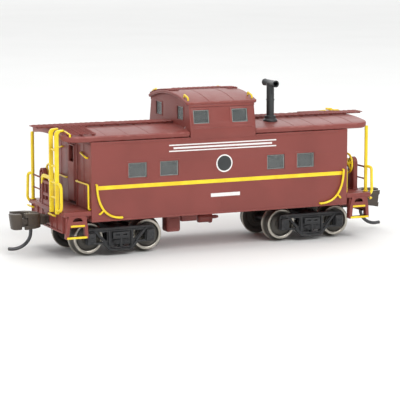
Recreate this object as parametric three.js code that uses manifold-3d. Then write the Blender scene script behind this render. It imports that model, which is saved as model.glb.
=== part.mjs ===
// Railway model caboose, N scale (1:160), built as it comes apart on the bench.
// Millimetres. X runs along the car, Y across it, Z up, with Z = 0 at the wheel flanges' lowest point.
// Everything inside the "car" group is measured from the rail top, one flange depth higher.
// The car looks the same after half a turn about Z, so each end is modelled once, at +X.

import * as THREE from 'three';
import { mergeVertices } from 'three/addons/utils/BufferGeometryUtils.js';
import Module from 'manifold-3d';

const wasm = await Module();
wasm.setup();

// ---- driving dimensions -------------------------------------------------------------------

const GAP = 0.06;                 // air between neighbouring mouldings
const FLANGE_DEPTH = 0.43;        // flange below the rail top

const BODY_HALF_LENGTH = 23.66;
const BODY_HALF_WIDTH = 8.91;
const WALL = 0.9;
const SIDE_BOTTOM = 5.83;
const EAVE_BOTTOM = 18.97;
const WINDOW_WIDTH = 3.3;
const WINDOW_LOW = 12.8;
const WINDOW_HIGH = 15.3;
const WINDOW_CENTRES = [-15.54, -9.87, 9.87, 15.54];
const DOOR_HALF_WIDTH = 1.9;
const DOOR_SILL = 7.8;
const DOOR_TOP = 18.2;
const DOOR_RECESS = 0.3;
const DOOR_PANE = { halfWidth: 1.1, low: 14.9, high: 17.8 };
const GLASS = 0.4;
const PANE_SETBACK = 0.15;

const ROOF_HALF_LENGTH = 28.2;
const ROOF_HALF_WIDTH = 8.98;
const ROOF_CROWN = 20.7;
const ROOF_EDGE = 19.95;
const ROOF_THICK = 0.95;
const ROOF_CORNER = 2.2;

const CUPOLA_HALF_LENGTH = 6.0;
const CUPOLA_TOP = 24.25;
const CUPOLA_TOP_HALF_WIDTH = 8.1;
const CUPOLA_WALL = 0.7;
const CUPOLA_ROOF_HALF_LENGTH = 6.5;
const CUPOLA_ROOF_HALF_WIDTH = 8.45;
const CUPOLA_CROWN = 26.1;
const CUPOLA_EDGE = 24.75;
const CUPOLA_ROOF_THICK = 0.5;
const CUPOLA_KNEE = 20.0;
const CUPOLA_WELL = { x: 5.0, y: 7.2 };
const CUPOLA_SIDE_WINDOW = { centres: [-3.9, 3.2], halfWidth: 1.45, low: 21.2, high: 23.5 };
const CUPOLA_END_WINDOW = { centre: 4.6, halfWidth: 1.3, low: 21.6, high: 23.8 };
const GLAZING_FOOT = 20.9;

const BOARD_HALF_LENGTH = 30.4;
const BOARD_HALF_WIDTH = 1.5;
const BOARD_TOP = 21.12;
const BOARD_THICK = 0.3;
const SADDLES = 6;
const SIDE_STEP = { x0: 22.6, x1: 27.4, reach: 8.5, low: 20.2, thick: 0.25 };
const SMOKE_JACK = {
  x: 11.1, y: -4.1, radius: 0.7,
  collar: { radius: 1.25, top: 21.5 },
  cap: { radius: 0.6, length: 4.4, z: 27.07 },
};

const FLOOR_LOW = 6.1;
const FLOOR_HIGH = 7.1;
const PLATFORM_END = 28.45;
const PLATFORM_TOP = 7.7;
const STEP_INNER = 7.55;
const STEP_NEAR = 24.2;
const STEP_FAR = 28.3;
const STEP_BOTTOM = 3.2;
const STEP_MIDDLE = 5.2;
const STEP_PLATE = 0.45;
const STEP_SLOT = { x: 26.3, z: 5.95, radius: 0.8 };
const SILL_LOW = 4.1;
const POCKET_START = 24.4;
const POCKET_HALF_WIDTH = 1.9;
const POCKET_WALL = 0.35;
const POCKET_LOW = 4.4;
const POCKET_ROOF = 6.35;
const LID_THICK = 0.3;
const LID_SCREW = { radius: 0.25, head: 0.55 };
const CENTRE_SILL = { halfX: 11.8, halfY: 1.0, low: 5.75 };
const CROSSBEARERS = [-9.6, 0.6, 9.6];
const BATTERY_BOX = { x0: -5.8, x1: -3.0, y0: -4.7, y1: -1.6, bottom: 4.15, lip: 0.15 };
const BRAKE_CYLINDER = { y: -3.2, z: 4.35, start: -2.3, flange: [-0.1, 0.2], rodEnd: 1.6 };
const AIR_RESERVOIR = { x: 0.6, y: 3.6, z: 4.5, hangers: [-0.9, 1.7] };
const EQUIPMENT_BOX = { x0: -8.75, x1: -6.2, y0: -5.2, y1: -2.8, bottom: 2.55, round: 0.8 };

const TRUCK_X = 17.84;
const WHEELBASE = 10.48;
const TREAD_RADIUS = 2.62;
const FLANGE_RADIUS = TREAD_RADIUS + FLANGE_DEPTH;
const WHEEL_BACK = 3.8;
const WHEEL_FACE = 5.7;
const AXLE_RADIUS = 0.6;
const SIDEFRAME_IN = 6.15;
const SIDEFRAME_OUT = 7.0;
const SIDEFRAME_OUTLINE = [
  [-6.1, 3.75], [-6.1, 4.3], [-5.6, 4.5], [5.6, 4.5], [6.1, 4.3], [6.1, 3.75], [6.0, 2.0],
  [5.9, 1.65], [3.1, 1.65], [1.8, 0.45], [-1.8, 0.45], [-3.1, 1.65], [-5.9, 1.65], [-6.0, 2.0],
];
const SIDEFRAME_OPENINGS = [      // on one side of the middle
  [[2.75, 1.98], [4.35, 1.98], [4.35, 3.2]],
  [[2.2, 2.1], [2.45, 2.1], [4.1, 3.75], [2.2, 3.75]],
  [[0.25, 0.95], [1.5, 0.95], [1.75, 1.3], [1.75, 1.75], [0.25, 1.75]],
];
const AXLE_TIP = 6.7;
const AXLE_TIP_RADIUS = 0.4;
const AXLE_TIP_HOLE = 6.8;
const BEARING_RADIUS = 0.55;
const PIVOT_SCREW = { radius: 0.55, head: 1.0, low: 2.5, shoulder: 2.95, high: 6.7 };
const TRUCK_TOP = 5.8;
const TRUCK_BOSS = 1.5;

const COUPLER_PIVOT = 26.3;
const COUPLER_CENTRE = 5.5;
const COUPLER_POST = 0.45;
const HEAD_HALF_HEIGHT = 1.3;
const TAIL_HALF_HEIGHT = 0.55;
const SHANK = { halfWidth: 0.75, low: 4.9, high: 6.1 };
const KNUCKLE_PIVOT = { x: 32.35, y: 1.2 };
const HEAD_OUTLINE = [            // coupler head with its guard arm, in plan
  [29.2, -1.0], [29.9, -1.85], [31.6, -2.0], [33.9, -2.2], [34.1, -1.95], [33.8, -1.6],
  [32.5, -1.05], [31.5, -0.4], [31.5, 0.35], [32.2, 1.1], [32.8, 1.3],
  [32.75, 1.8], [32.35, 1.98], [30.6, 2.0], [29.9, 1.75], [29.2, 1.0],
];
const HOOK_OUTLINE = [            // the knuckle's hook, in plan
  [33.33, 1.05], [34.3, 0.75], [34.35, 0.2], [34.5, -0.05], [35.0, -0.05],
  [35.2, 0.4], [35.2, 1.3], [34.9, 1.8], [34.3, 2.05], [33.33, 2.0],
];
const TRIP_PIN = {
  y: -0.6, radius: 0.3,
  path: [[31.0, 3.2], [31.35, 2.1], [32.2, 1.15], [33.5, 0.62], [35.0, 0.75]],
};
const KNUCKLE_BOSS = 0.62;
const PIN_RADIUS = 0.26;
const SPRING_STEPS = 9;           // corners in each turn of the spring
const SPRING = { x0: 24.9, x1: 25.4, radius: 0.5, wireRadius: 0.07, turns: 3 };

const RAILING = {
  post: { x: 28.1, y: -7.6, radius: 0.32 },
  hoop: { x: 28.1, y0: -2.5, y1: 1.75, top: 12.5, radius: 0.34, bend: 1.6 },
  rail: { z: 12.0, radius: 0.2 },
  handrail: { reach: -8.6, radius: 0.26, bend: 1.2 },
  plates: [[PLATFORM_TOP + GAP, 8.55], [9.23, 9.75], [11.3, 11.7]],
};
const LADDER = {
  x: 28.5, depth: 0.7, width: 0.5, foot: 7.2, head: 21.1,
  stiles: [3.9, 6.6], rungs: [9.86, 12.34, 15.04, 17.7], rungRadius: 0.2,
  handrail: { low: 7.9, high: 12.3, reach: 8.65, radius: 0.26, bend: 1.2 },
};
const BRAKE_STAND = { x0: 26.95, x1: 27.75, y: -4.2, halfWidth: 1.1, top: 13.5 };
const BRAKE_WHEEL = { x: 26.3, z: 12.4, radius: 1.85, rim: 0.18, hub: 0.32 };
const SIDE_GRAB = {
  top: { x: 22.85, z: 12.0 }, corner: { x: 22.7, z: 6.4 }, foot: { x: 18.4, z: 6.37 },
};

const ROUND = 16;                 // sides of a small round part

// ---- solids and booleans ------------------------------------------------------------------

// A shape that came out of a boolean is already welded, and keeps its own vertices.
function weld(geometry) {
  if (geometry.userData.welded) return geometry;
  const plain = geometry.clone();
  for (const name of Object.keys(plain.attributes)) {
    if (name !== 'position') plain.deleteAttribute(name);
  }
  return mergeVertices(plain, 1e-4);
}

function toSolid(geometry) {
  const welded = weld(geometry);
  return new wasm.Manifold(new wasm.Mesh({
    numProp: 3,
    vertProperties: new Float32Array(welded.attributes.position.array),
    triVerts: new Uint32Array(welded.index.array),
  }));
}

function fromSolid(solid) {
  const mesh = solid.getMesh();
  const geometry = new THREE.BufferGeometry();
  geometry.setAttribute('position', new THREE.BufferAttribute(new Float32Array(mesh.vertProperties), 3));
  geometry.setIndex(Array.from(mesh.triVerts));
  geometry.computeVertexNormals();
  geometry.userData.welded = true;
  return geometry;
}

function join(...geometries) {
  return fromSolid(geometries.map(toSolid).reduce((whole, next) => whole.add(next)));
}

function cut(base, ...tools) {
  return fromSolid(tools.map(toSolid).reduce((left, tool) => left.subtract(tool), toSolid(base)));
}

// ---- basic shapes -------------------------------------------------------------------------

function box(x0, x1, y0, y1, z0, z1) {
  const geometry = new THREE.BoxGeometry(x1 - x0, y1 - y0, z1 - z0);
  return geometry.translate((x0 + x1) / 2, (y0 + y1) / 2, (z0 + z1) / 2);
}

// Two distances from the middle as limits along Y on one side of the car, lower first.
function sidePair(side, first, second) {
  return [side * first, side * second].sort((a, b) => a - b);
}

function sideBox(side, x, y, z) {
  const [low, high] = sidePair(side, ...y);
  return box(...x, low, high, ...z);
}

function outline(points) {
  return new THREE.Shape(points.map(([a, b]) => new THREE.Vector2(a, b)));
}

// A plan outline in (x, y), raised from z0 to z1.
function plan(shape, z0, z1, curveSegments = 6) {
  const geometry = new THREE.ExtrudeGeometry(shape, { depth: z1 - z0, bevelEnabled: false, curveSegments });
  return geometry.translate(0, 0, z0);
}

// A side outline in (x, z), spread from y0 to y1.
function elevation(shape, y0, y1, curveSegments = 6) {
  const geometry = new THREE.ExtrudeGeometry(shape, { depth: y1 - y0, bevelEnabled: false, curveSegments });
  return geometry.rotateX(Math.PI / 2).translate(0, y1, 0);
}

// A section outline in (y, z), run from x0 to x1.
function section(shape, x0, x1, curveSegments = 6) {
  const geometry = new THREE.ExtrudeGeometry(shape, { depth: x1 - x0, bevelEnabled: false, curveSegments });
  return geometry.rotateX(Math.PI / 2).rotateZ(Math.PI / 2).translate(x0, 0, 0);
}

function upright(radius, x, y, z0, z1, sides = ROUND) {
  const geometry = new THREE.CylinderGeometry(radius, radius, z1 - z0, sides);
  return geometry.rotateX(Math.PI / 2).translate(x, y, (z0 + z1) / 2);
}

function across(radius, x, z, y0, y1, sides = ROUND) {
  const geometry = new THREE.CylinderGeometry(radius, radius, y1 - y0, sides);
  return geometry.translate(x, (y0 + y1) / 2, z);
}

function along(radius, y, z, x0, x1, sides = ROUND) {
  const geometry = new THREE.CylinderGeometry(radius, radius, x1 - x0, sides);
  return geometry.rotateZ(Math.PI / 2).translate((x0 + x1) / 2, y, z);
}

// A closed surface of revolution about the Y axis: profile points are [radius, y].
function turned(profile, sides) {
  return new THREE.LatheGeometry(profile.map(([r, y]) => new THREE.Vector2(r, y)), sides);
}

// Wire of round section through the points, on straight runs with rounded corners.
function wire(points, radius, bend = 0.8, sides = 6, bendSteps = 3) {
  const path = [];
  const at = points.map(([x, y, z]) => new THREE.Vector3(x, y, z));
  path.push(at[0]);
  for (let i = 1; i < at.length - 1; i += 1) {
    const back = at[i - 1].clone().sub(at[i]);
    const ahead = at[i + 1].clone().sub(at[i]);
    const trim = Math.min(bend, back.length() * 0.49, ahead.length() * 0.49);
    const from = at[i].clone().addScaledVector(back.normalize(), trim);
    const to = at[i].clone().addScaledVector(ahead.normalize(), trim);
    const curve = new THREE.QuadraticBezierCurve3(from, at[i], to);
    path.push(...curve.getPoints(bendSteps));
  }
  path.push(at[at.length - 1]);
  return sweep(path, radius, sides);
}

// Sweeps a round section along the corners of a polyline, with a mitre at each corner.
function sweep(path, radius, sides) {
  const ring = [];
  for (let i = 0; i < sides; i += 1) {
    const a = ((i + 0.5) / sides) * Math.PI * 2;
    ring.push([radius * Math.cos(a), radius * Math.sin(a)]);
  }
  return new THREE.ExtrudeGeometry(outline(ring), {
    steps: path.length - 1,
    extrudePath: new PolylineRoute(path),
    bevelEnabled: false,
  });
}

// A curve that visits its corners at even parameters, so that each sweep step ends on a corner.
class PolylineRoute extends THREE.Curve {
  constructor(corners) {
    super();
    this.corners = corners;
  }

  getPoint(t, target = new THREE.Vector3()) {
    const place = Math.min(t, 1) * (this.corners.length - 1);
    const i = Math.min(Math.floor(place + 1e-9), this.corners.length - 2);
    return target.lerpVectors(this.corners[i], this.corners[i + 1], place - i);
  }

  getPointAt(t, target) {
    return this.getPoint(t, target);
  }

  getTangentAt(t, target = new THREE.Vector3()) {
    return this.getTangent(t, target);
  }

  getTangent(t, target = new THREE.Vector3()) {
    const last = this.corners.length - 1;
    const i = Math.round(t * last);
    const before = this.corners[Math.max(i - 1, 0)];
    const after = this.corners[Math.min(i + 1, last)];
    return target.subVectors(after, before).normalize();
  }
}

// ---- curves of the roofs ------------------------------------------------------------------

function arch(crown, edge, halfWidth) {
  return (y) => crown - (crown - edge) * (y / halfWidth) ** 2;
}

const roofTop = arch(ROOF_CROWN, ROOF_EDGE, ROOF_HALF_WIDTH);
const cupolaRoofTop = arch(CUPOLA_CROWN, CUPOLA_EDGE, CUPOLA_ROOF_HALF_WIDTH);

// Points of a curve z(y) from one side to the other.
function acrossCurve(height, from, to, steps = 10) {
  const points = [];
  for (let i = 0; i <= steps; i += 1) {
    const y = from + ((to - from) * i) / steps;
    points.push([y, height(y)]);
  }
  return points;
}

// ---- body and roof ------------------------------------------------------------------------

function bodyShell() {
  const inner = { x: BODY_HALF_LENGTH - WALL, y: BODY_HALF_WIDTH - WALL };
  const gable = outline([
    [-inner.y, EAVE_BOTTOM - 1],
    [inner.y, EAVE_BOTTOM - 1],
    ...acrossCurve((y) => roofTop(y) - ROOF_THICK - GAP, inner.y, -inner.y),
  ]);
  const length = BODY_HALF_LENGTH;
  const width = BODY_HALF_WIDTH;
  let shell = box(-length, length, -width, width, SIDE_BOTTOM, EAVE_BOTTOM);
  shell = cut(shell, box(-inner.x, inner.x, -inner.y, inner.y, SIDE_BOTTOM - 1, EAVE_BOTTOM + 1));
  for (const end of [-1, 1]) {
    const near = Math.min(end * inner.x, end * BODY_HALF_LENGTH);
    shell = join(shell, section(gable, near, near + WALL));
  }
  const tools = [];
  for (const x of WINDOW_CENTRES) {
    const half = WINDOW_WIDTH / 2;
    tools.push(box(x - half, x + half, -10, 10, WINDOW_LOW, WINDOW_HIGH));
  }
  const recess = BODY_HALF_LENGTH - DOOR_RECESS;
  for (const end of [-1, 1]) {
    const a = Math.min(end * recess, end * (BODY_HALF_LENGTH + 1));
    tools.push(box(a, a + DOOR_RECESS + 1, -DOOR_HALF_WIDTH, DOOR_HALF_WIDTH, DOOR_SILL, DOOR_TOP));
  }
  tools.push(box(-30, 30, -DOOR_PANE.halfWidth, DOOR_PANE.halfWidth, DOOR_PANE.low, DOOR_PANE.high));
  return cut(shell, ...tools);
}

function mainRoof() {
  const sheet = outline([
    ...acrossCurve(roofTop, -ROOF_HALF_WIDTH, ROOF_HALF_WIDTH),
    ...acrossCurve((y) => roofTop(y) - ROOF_THICK, ROOF_HALF_WIDTH, -ROOF_HALF_WIDTH),
  ]);
  const long = section(sheet, -ROOF_HALF_LENGTH, ROOF_HALF_LENGTH);
  const rounded = toSolid(long).intersect(toSolid(plan(roundedPlan(
    ROOF_HALF_LENGTH + 0.01, ROOF_HALF_WIDTH + 0.01, ROOF_CORNER,
  ), 15, 25)));
  const notch = CUPOLA_HALF_LENGTH + GAP;
  const ledge = BODY_HALF_WIDTH - CUPOLA_WALL - GAP;
  return cut(
    fromSolid(rounded),
    box(-CUPOLA_WELL.x, CUPOLA_WELL.x, -CUPOLA_WELL.y, CUPOLA_WELL.y, 15, 25),
    box(-notch, notch, ledge, 10, 15, 25),
    box(-notch, notch, -10, -ledge, 15, 25),
  );
}

function roundedPlan(halfX, halfY, radius) {
  const shape = new THREE.Shape();
  shape.moveTo(-halfX + radius, -halfY);
  shape.lineTo(halfX - radius, -halfY);
  shape.absarc(halfX - radius, -halfY + radius, radius, -Math.PI / 2, 0, false);
  shape.lineTo(halfX, halfY - radius);
  shape.absarc(halfX - radius, halfY - radius, radius, 0, Math.PI / 2, false);
  shape.lineTo(-halfX + radius, halfY);
  shape.absarc(-halfX + radius, halfY - radius, radius, Math.PI / 2, Math.PI, false);
  shape.lineTo(-halfX, -halfY + radius);
  shape.absarc(-halfX + radius, -halfY + radius, radius, Math.PI, Math.PI * 1.5, false);
  return shape;
}

// ---- cupola -------------------------------------------------------------------------------

// Half width of the cupola at a level: upright to the knee, then leaning in to the top.
function cupolaHalfWidth(z) {
  const lean = Math.min(Math.max((z - CUPOLA_KNEE) / (CUPOLA_TOP - CUPOLA_KNEE), 0), 1);
  return BODY_HALF_WIDTH + lean * (CUPOLA_TOP_HALF_WIDTH - BODY_HALF_WIDTH);
}

// The cupola's cross-section, drawn in by an inset, up to a top curve.
function cupolaSection(inset, bottom, top) {
  const knee = Math.max(CUPOLA_KNEE, bottom + 0.1);
  const foot = cupolaHalfWidth(bottom) - inset;
  const waist = cupolaHalfWidth(knee) - inset;
  const head = CUPOLA_TOP_HALF_WIDTH - inset;
  return outline([
    [-foot, bottom],
    [foot, bottom],
    [waist, knee],
    ...acrossCurve(top, head, -head),
    [-waist, knee],
  ]);
}

function cupolaWindowBoxes(inset) {
  const side = CUPOLA_SIDE_WINDOW;
  const end = CUPOLA_END_WINDOW;
  const boxes = [];
  for (const turn of [1, -1]) {
    for (const centre of side.centres) {
      const x = centre * turn;
      const y0 = Math.min(-turn * 6, -turn * 10);
      const half = side.halfWidth - inset;
      boxes.push(box(x - half, x + half, y0, y0 + 4, side.low + inset, side.high - inset));
    }
    for (const y of [-end.centre, end.centre]) {
      const x0 = Math.min(turn * 4.9, turn * 8);
      const half = end.halfWidth - inset;
      boxes.push(box(x0, x0 + 3.1, y - half, y + half, end.low + inset, end.high - inset));
    }
  }
  return boxes;
}

function cupolaShell() {
  const under = (y) => cupolaRoofTop(y) - CUPOLA_ROOF_THICK - GAP;
  const whole = section(cupolaSection(0, EAVE_BOTTOM + GAP, under), -CUPOLA_HALF_LENGTH, CUPOLA_HALF_LENGTH);
  const hollowEnd = CUPOLA_HALF_LENGTH - CUPOLA_WALL;
  const hollow = section(cupolaSection(CUPOLA_WALL, EAVE_BOTTOM - 1, () => 28), -hollowEnd, hollowEnd);
  const seat = BODY_HALF_WIDTH - CUPOLA_WALL - 0.01;
  const roofSeat = outline([
    [-seat, 15],
    [seat, 15],
    ...acrossCurve((y) => roofTop(y) + GAP, seat, -seat),
  ]);
  return cut(whole, hollow, section(roofSeat, -9, 9), ...cupolaWindowBoxes(0));
}

function cupolaRoof() {
  const reach = CUPOLA_ROOF_HALF_WIDTH;
  return section(outline([
    ...acrossCurve(cupolaRoofTop, -reach, reach),
    ...acrossCurve((y) => cupolaRoofTop(y) - CUPOLA_ROOF_THICK, reach, -reach),
  ]), -CUPOLA_ROOF_HALF_LENGTH, CUPOLA_ROOF_HALF_LENGTH);
}

function cupolaGlazing() {
  const inset = CUPOLA_WALL + GAP;
  const end = CUPOLA_HALF_LENGTH - inset;
  const under = (y) => cupolaRoofTop(y) - CUPOLA_ROOF_THICK - 4 * GAP;
  const outer = section(cupolaSection(inset, GLAZING_FOOT, under), -end, end);
  const innerEnd = end - GLASS;
  const hollow = section(cupolaSection(inset + GLASS, GLAZING_FOOT - 3, () => 28), -innerEnd, innerEnd);
  const proud = toSolid(section(
    cupolaSection(PANE_SETBACK, GLAZING_FOOT, under),
    -CUPOLA_HALF_LENGTH + PANE_SETBACK,
    CUPOLA_HALF_LENGTH - PANE_SETBACK,
  ));
  let ring = toSolid(cut(outer, hollow));
  for (const pane of cupolaWindowBoxes(GAP)) {
    ring = ring.add(toSolid(pane).intersect(proud).subtract(toSolid(hollow)));
  }
  return fromSolid(ring);
}

// ---- glazing of the body ------------------------------------------------------------------

// One strip behind a side wall, with a raised pane in each window.
function sideGlazing(side) {
  const inner = BODY_HALF_WIDTH - WALL - GAP;
  const face = BODY_HALF_WIDTH - PANE_SETBACK;
  const reach = WINDOW_CENTRES[3] + WINDOW_WIDTH / 2 + 1;
  const strip = (y0, y1, x0, x1, z0, z1) => sideBox(side, [x0, x1], [y0, y1], [z0, z1]);
  const pieces = [strip(inner - GLASS, inner, -reach, reach, WINDOW_LOW - 0.8, WINDOW_HIGH + 0.8)];
  for (const x of WINDOW_CENTRES) {
    const half = WINDOW_WIDTH / 2 - GAP;
    pieces.push(strip(inner - GLASS / 2, face, x - half, x + half, WINDOW_LOW + GAP, WINDOW_HIGH - GAP));
  }
  return join(...pieces);
}

function doorGlazing() {
  const inner = BODY_HALF_LENGTH - WALL - GAP;
  const outer = BODY_HALF_LENGTH - DOOR_RECESS - PANE_SETBACK;
  const pane = DOOR_PANE;
  const half = pane.halfWidth - GAP;
  return join(
    box(inner - GLASS, inner, -pane.halfWidth - 0.6, pane.halfWidth + 0.6, pane.low - 0.6, pane.high + 0.6),
    box(inner - GLASS / 2, outer, -half, half, pane.low + GAP, pane.high - GAP),
  );
}

// ---- roof fittings ------------------------------------------------------------------------

// The walkway along the roof, with the side step over the ladder and its saddles.
function runningBoard() {
  const start = CUPOLA_ROOF_HALF_LENGTH - 0.4;
  const low = BOARD_TOP - BOARD_THICK;
  const pieces = [box(start, BOARD_HALF_LENGTH, -BOARD_HALF_WIDTH, BOARD_HALF_WIDTH, low, BOARD_TOP)];
  const { x0, x1, reach, thick } = SIDE_STEP;
  pieces.push(section(outline([
    [BOARD_HALF_WIDTH - 0.2, low], [BOARD_HALF_WIDTH, low], [reach, SIDE_STEP.low],
    [reach, SIDE_STEP.low + thick], [BOARD_HALF_WIDTH - 0.2, low + thick],
  ]), x0, x1));
  for (let i = 0; i < SADDLES; i += 1) {
    const x = start + 1.5 + (i * (ROOF_HALF_LENGTH - start - 2.5)) / (SADDLES - 1);
    pieces.push(box(x - 0.2, x + 0.2, -1.2, 1.2, ROOF_CROWN + GAP / 2, low + 0.02));
  }
  for (const x of [x0 + 0.5, x1 - 0.5]) {
    const foot = roofTop(reach - 0.5) + GAP;
    pieces.push(box(x - 0.2, x + 0.2, reach - 0.5, reach - 0.1, foot, SIDE_STEP.low + 0.1));
  }
  return join(...pieces);
}

function smokeJack() {
  const { x, y, radius, collar, cap } = SMOKE_JACK;
  return join(
    upright(radius, x, y, roofTop(y - collar.radius) + GAP + 0.1, cap.z),
    upright(collar.radius, x, y, roofTop(y + collar.radius) + GAP, collar.top, 24),
    across(cap.radius, x, cap.z, y - cap.length / 2, y + cap.length / 2, 24),
  );
}

// ---- underframe ---------------------------------------------------------------------------

function underframe() {
  const halfX = BODY_HALF_LENGTH - WALL - GAP;
  const halfY = BODY_HALF_WIDTH - WALL - GAP;
  const pieces = [box(-halfX, halfX, -halfY, halfY, FLOOR_LOW, FLOOR_HIGH)];
  const sill = CENTRE_SILL;
  pieces.push(box(-sill.halfX, sill.halfX, -sill.halfY, sill.halfY, sill.low, FLOOR_LOW + 0.1));
  for (const x of CROSSBEARERS) {
    pieces.push(box(x - 0.35, x + 0.35, -halfY + 0.4, halfY - 0.4, sill.low + 0.2, FLOOR_LOW + 0.1));
  }
  for (const x of [-TRUCK_X, TRUCK_X]) {
    pieces.push(upright(TRUCK_BOSS, x, 0, TRUCK_TOP + 0.1, FLOOR_LOW + 0.1, 24));
  }
  const holes = [-TRUCK_X, TRUCK_X].map((x) => upright(PIVOT_SCREW.radius + GAP, x, 0, 4, FLOOR_HIGH - 0.25));
  return cut(join(...pieces), ...holes);
}

function weightPlate() {
  return box(-20, 20, -6.5, 6.5, FLOOR_HIGH + GAP, FLOOR_HIGH + 1.3);
}

// End platform: floor, end sill, coupler pocket and four corner steps in one moulding.
function endPlatform() {
  const deckLow = PLATFORM_TOP - 1.1;
  const start = BODY_HALF_LENGTH + GAP;
  const pieces = [
    box(start, PLATFORM_END, -BODY_HALF_WIDTH, BODY_HALF_WIDTH, deckLow, PLATFORM_TOP),
    box(PLATFORM_END - 0.7, PLATFORM_END, -STEP_INNER - 0.2, STEP_INNER + 0.2, SILL_LOW, deckLow + 0.1),
    box(POCKET_START, PLATFORM_END, -POCKET_HALF_WIDTH, POCKET_HALF_WIDTH, POCKET_LOW, deckLow + 0.1),
    box(20.9, POCKET_START + 0.2, -1.2, 1.2, 5.25, SIDE_BOTTOM - GAP),
    box(20.9, BODY_HALF_LENGTH - WALL - 2 * GAP, -1.2, 1.2, 5.5, FLOOR_LOW - GAP),
  ];
  for (const side of [-1, 1]) pieces.push(...cornerSteps(side));
  const mouth = POCKET_HALF_WIDTH - POCKET_WALL;
  const hollow = cut(
    box(POCKET_START + POCKET_WALL, PLATFORM_END + 1, -mouth, mouth, POCKET_LOW - 1, POCKET_ROOF),
    upright(COUPLER_POST, COUPLER_PIVOT, 0, POCKET_LOW + 0.1, POCKET_ROOF + 1),
  );
  return cut(
    join(...pieces),
    hollow,
    box(PLATFORM_END - 1, PLATFORM_END + 1, -mouth, mouth, SILL_LOW - 1, POCKET_LOW + 0.2),
    upright(LID_SCREW.radius + 0.03, COUPLER_PIVOT, 0, POCKET_LOW, POCKET_LOW + 1.2, 12),
    ...[-1, 1].map(stepSlot),
  );
}

function cornerSteps(side) {
  const wide = (x0, x1, y0, y1, z0, z1) => sideBox(side, [x0, x1], [y0, y1], [z0, z1]);
  const outer = BODY_HALF_WIDTH;
  const deckLow = PLATFORM_TOP - 1.1;
  return [
    wide(STEP_NEAR, STEP_NEAR + STEP_PLATE, STEP_INNER, outer, STEP_BOTTOM, deckLow + 0.1),
    wide(STEP_FAR - STEP_PLATE, STEP_FAR, STEP_INNER, outer, STEP_BOTTOM, deckLow + 0.1),
    wide(STEP_NEAR, STEP_FAR, STEP_INNER, outer, STEP_BOTTOM, STEP_BOTTOM + 0.35),
    wide(STEP_NEAR, STEP_FAR, STEP_INNER, outer, STEP_MIDDLE, STEP_MIDDLE + 0.35),
    wide(STEP_NEAR, STEP_FAR, outer - 0.35, outer, STEP_MIDDLE + 0.2, deckLow + 0.1),
  ];
}

// Half-round foot hole in the plate above the upper tread.
function stepSlot(side) {
  const half = new THREE.Shape();
  half.absarc(STEP_SLOT.x, STEP_SLOT.z, STEP_SLOT.radius, 0, Math.PI, false);
  half.closePath();
  const [low, high] = sidePair(side, BODY_HALF_WIDTH - 0.6, BODY_HALF_WIDTH + 1);
  return elevation(half, low, high);
}

function couplerBoxLid() {
  const top = POCKET_LOW - GAP / 2;
  return cut(
    box(POCKET_START, PLATFORM_END - 0.7 - GAP, -POCKET_HALF_WIDTH, POCKET_HALF_WIDTH, top - LID_THICK, top),
    upright(LID_SCREW.radius + 0.06, COUPLER_PIVOT, 0, 3, 5, 12),
  );
}

// A slotted screw standing head down: shank radius, head radius, and the levels of its three steps.
function screw(x, shank, head, low, shoulder, high) {
  return cut(
    join(upright(head, x, 0, low, shoulder, 24), upright(shank, x, 0, shoulder - 0.05, high, 16)),
    box(x - head - 1, x + head + 1, -head * 0.14, head * 0.14, low - 1, low + (shoulder - low) * 0.5),
  );
}

function lidScrew() {
  const lidLow = POCKET_LOW - GAP / 2 - LID_THICK;
  const { radius, head } = LID_SCREW;
  return screw(COUPLER_PIVOT, radius, head, lidLow - 0.4, lidLow - 0.02, POCKET_LOW + 1.1);
}

function pivotScrew() {
  const { radius, head, low, shoulder, high } = PIVOT_SCREW;
  return screw(0, radius, head, low, shoulder, high);
}

// ---- equipment under the floor ------------------------------------------------------------

function equipmentBox() {
  const { x0, x1, y0, y1, bottom, round } = EQUIPMENT_BOX;
  const shape = new THREE.Shape();
  shape.moveTo(x0, FLOOR_LOW - GAP);
  shape.lineTo(x0, bottom + round);
  shape.absarc(x0 + round, bottom + round, round, Math.PI, Math.PI * 1.5, false);
  shape.absarc(x1 - round, bottom + round, round, -Math.PI / 2, 0, false);
  shape.lineTo(x1, FLOOR_LOW - GAP);
  return elevation(shape, y0, y1);
}

function batteryBox() {
  const { x0, x1, y0, y1, bottom, lip } = BATTERY_BOX;
  return join(
    box(x0, x1, y0, y1, bottom, FLOOR_LOW - GAP),
    box(x0 - lip, x1 + lip, y0 - lip, y1 + lip, bottom + 1.3, bottom + 1.6),
  );
}

function brakeCylinder() {
  const { y, z, start, flange, rodEnd } = BRAKE_CYLINDER;
  return join(
    along(0.85, y, z, start, 0, 24),
    along(1.0, y, z, flange[0], flange[1], 24),
    along(0.3, y, z, 0.1, rodEnd, 12),
    box(start + 0.4, start + 1.7, y - 0.4, y + 0.4, z - 0.05, FLOOR_LOW - GAP),
  );
}

function airReservoir() {
  const body = turned([[0, -2.3], [0.6, -2.2], [0.95, -1.9], [0.95, 1.9], [0.6, 2.2], [0, 2.3]], 24);
  const { x, y, z, hangers } = AIR_RESERVOIR;
  body.rotateZ(-Math.PI / 2).translate(x, y, z);
  return join(body, ...hangers.map((at) => box(at, at + 0.4, y - 0.5, y + 0.5, z + 0.1, FLOOR_LOW - GAP)));
}

// ---- end fittings -------------------------------------------------------------------------

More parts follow.
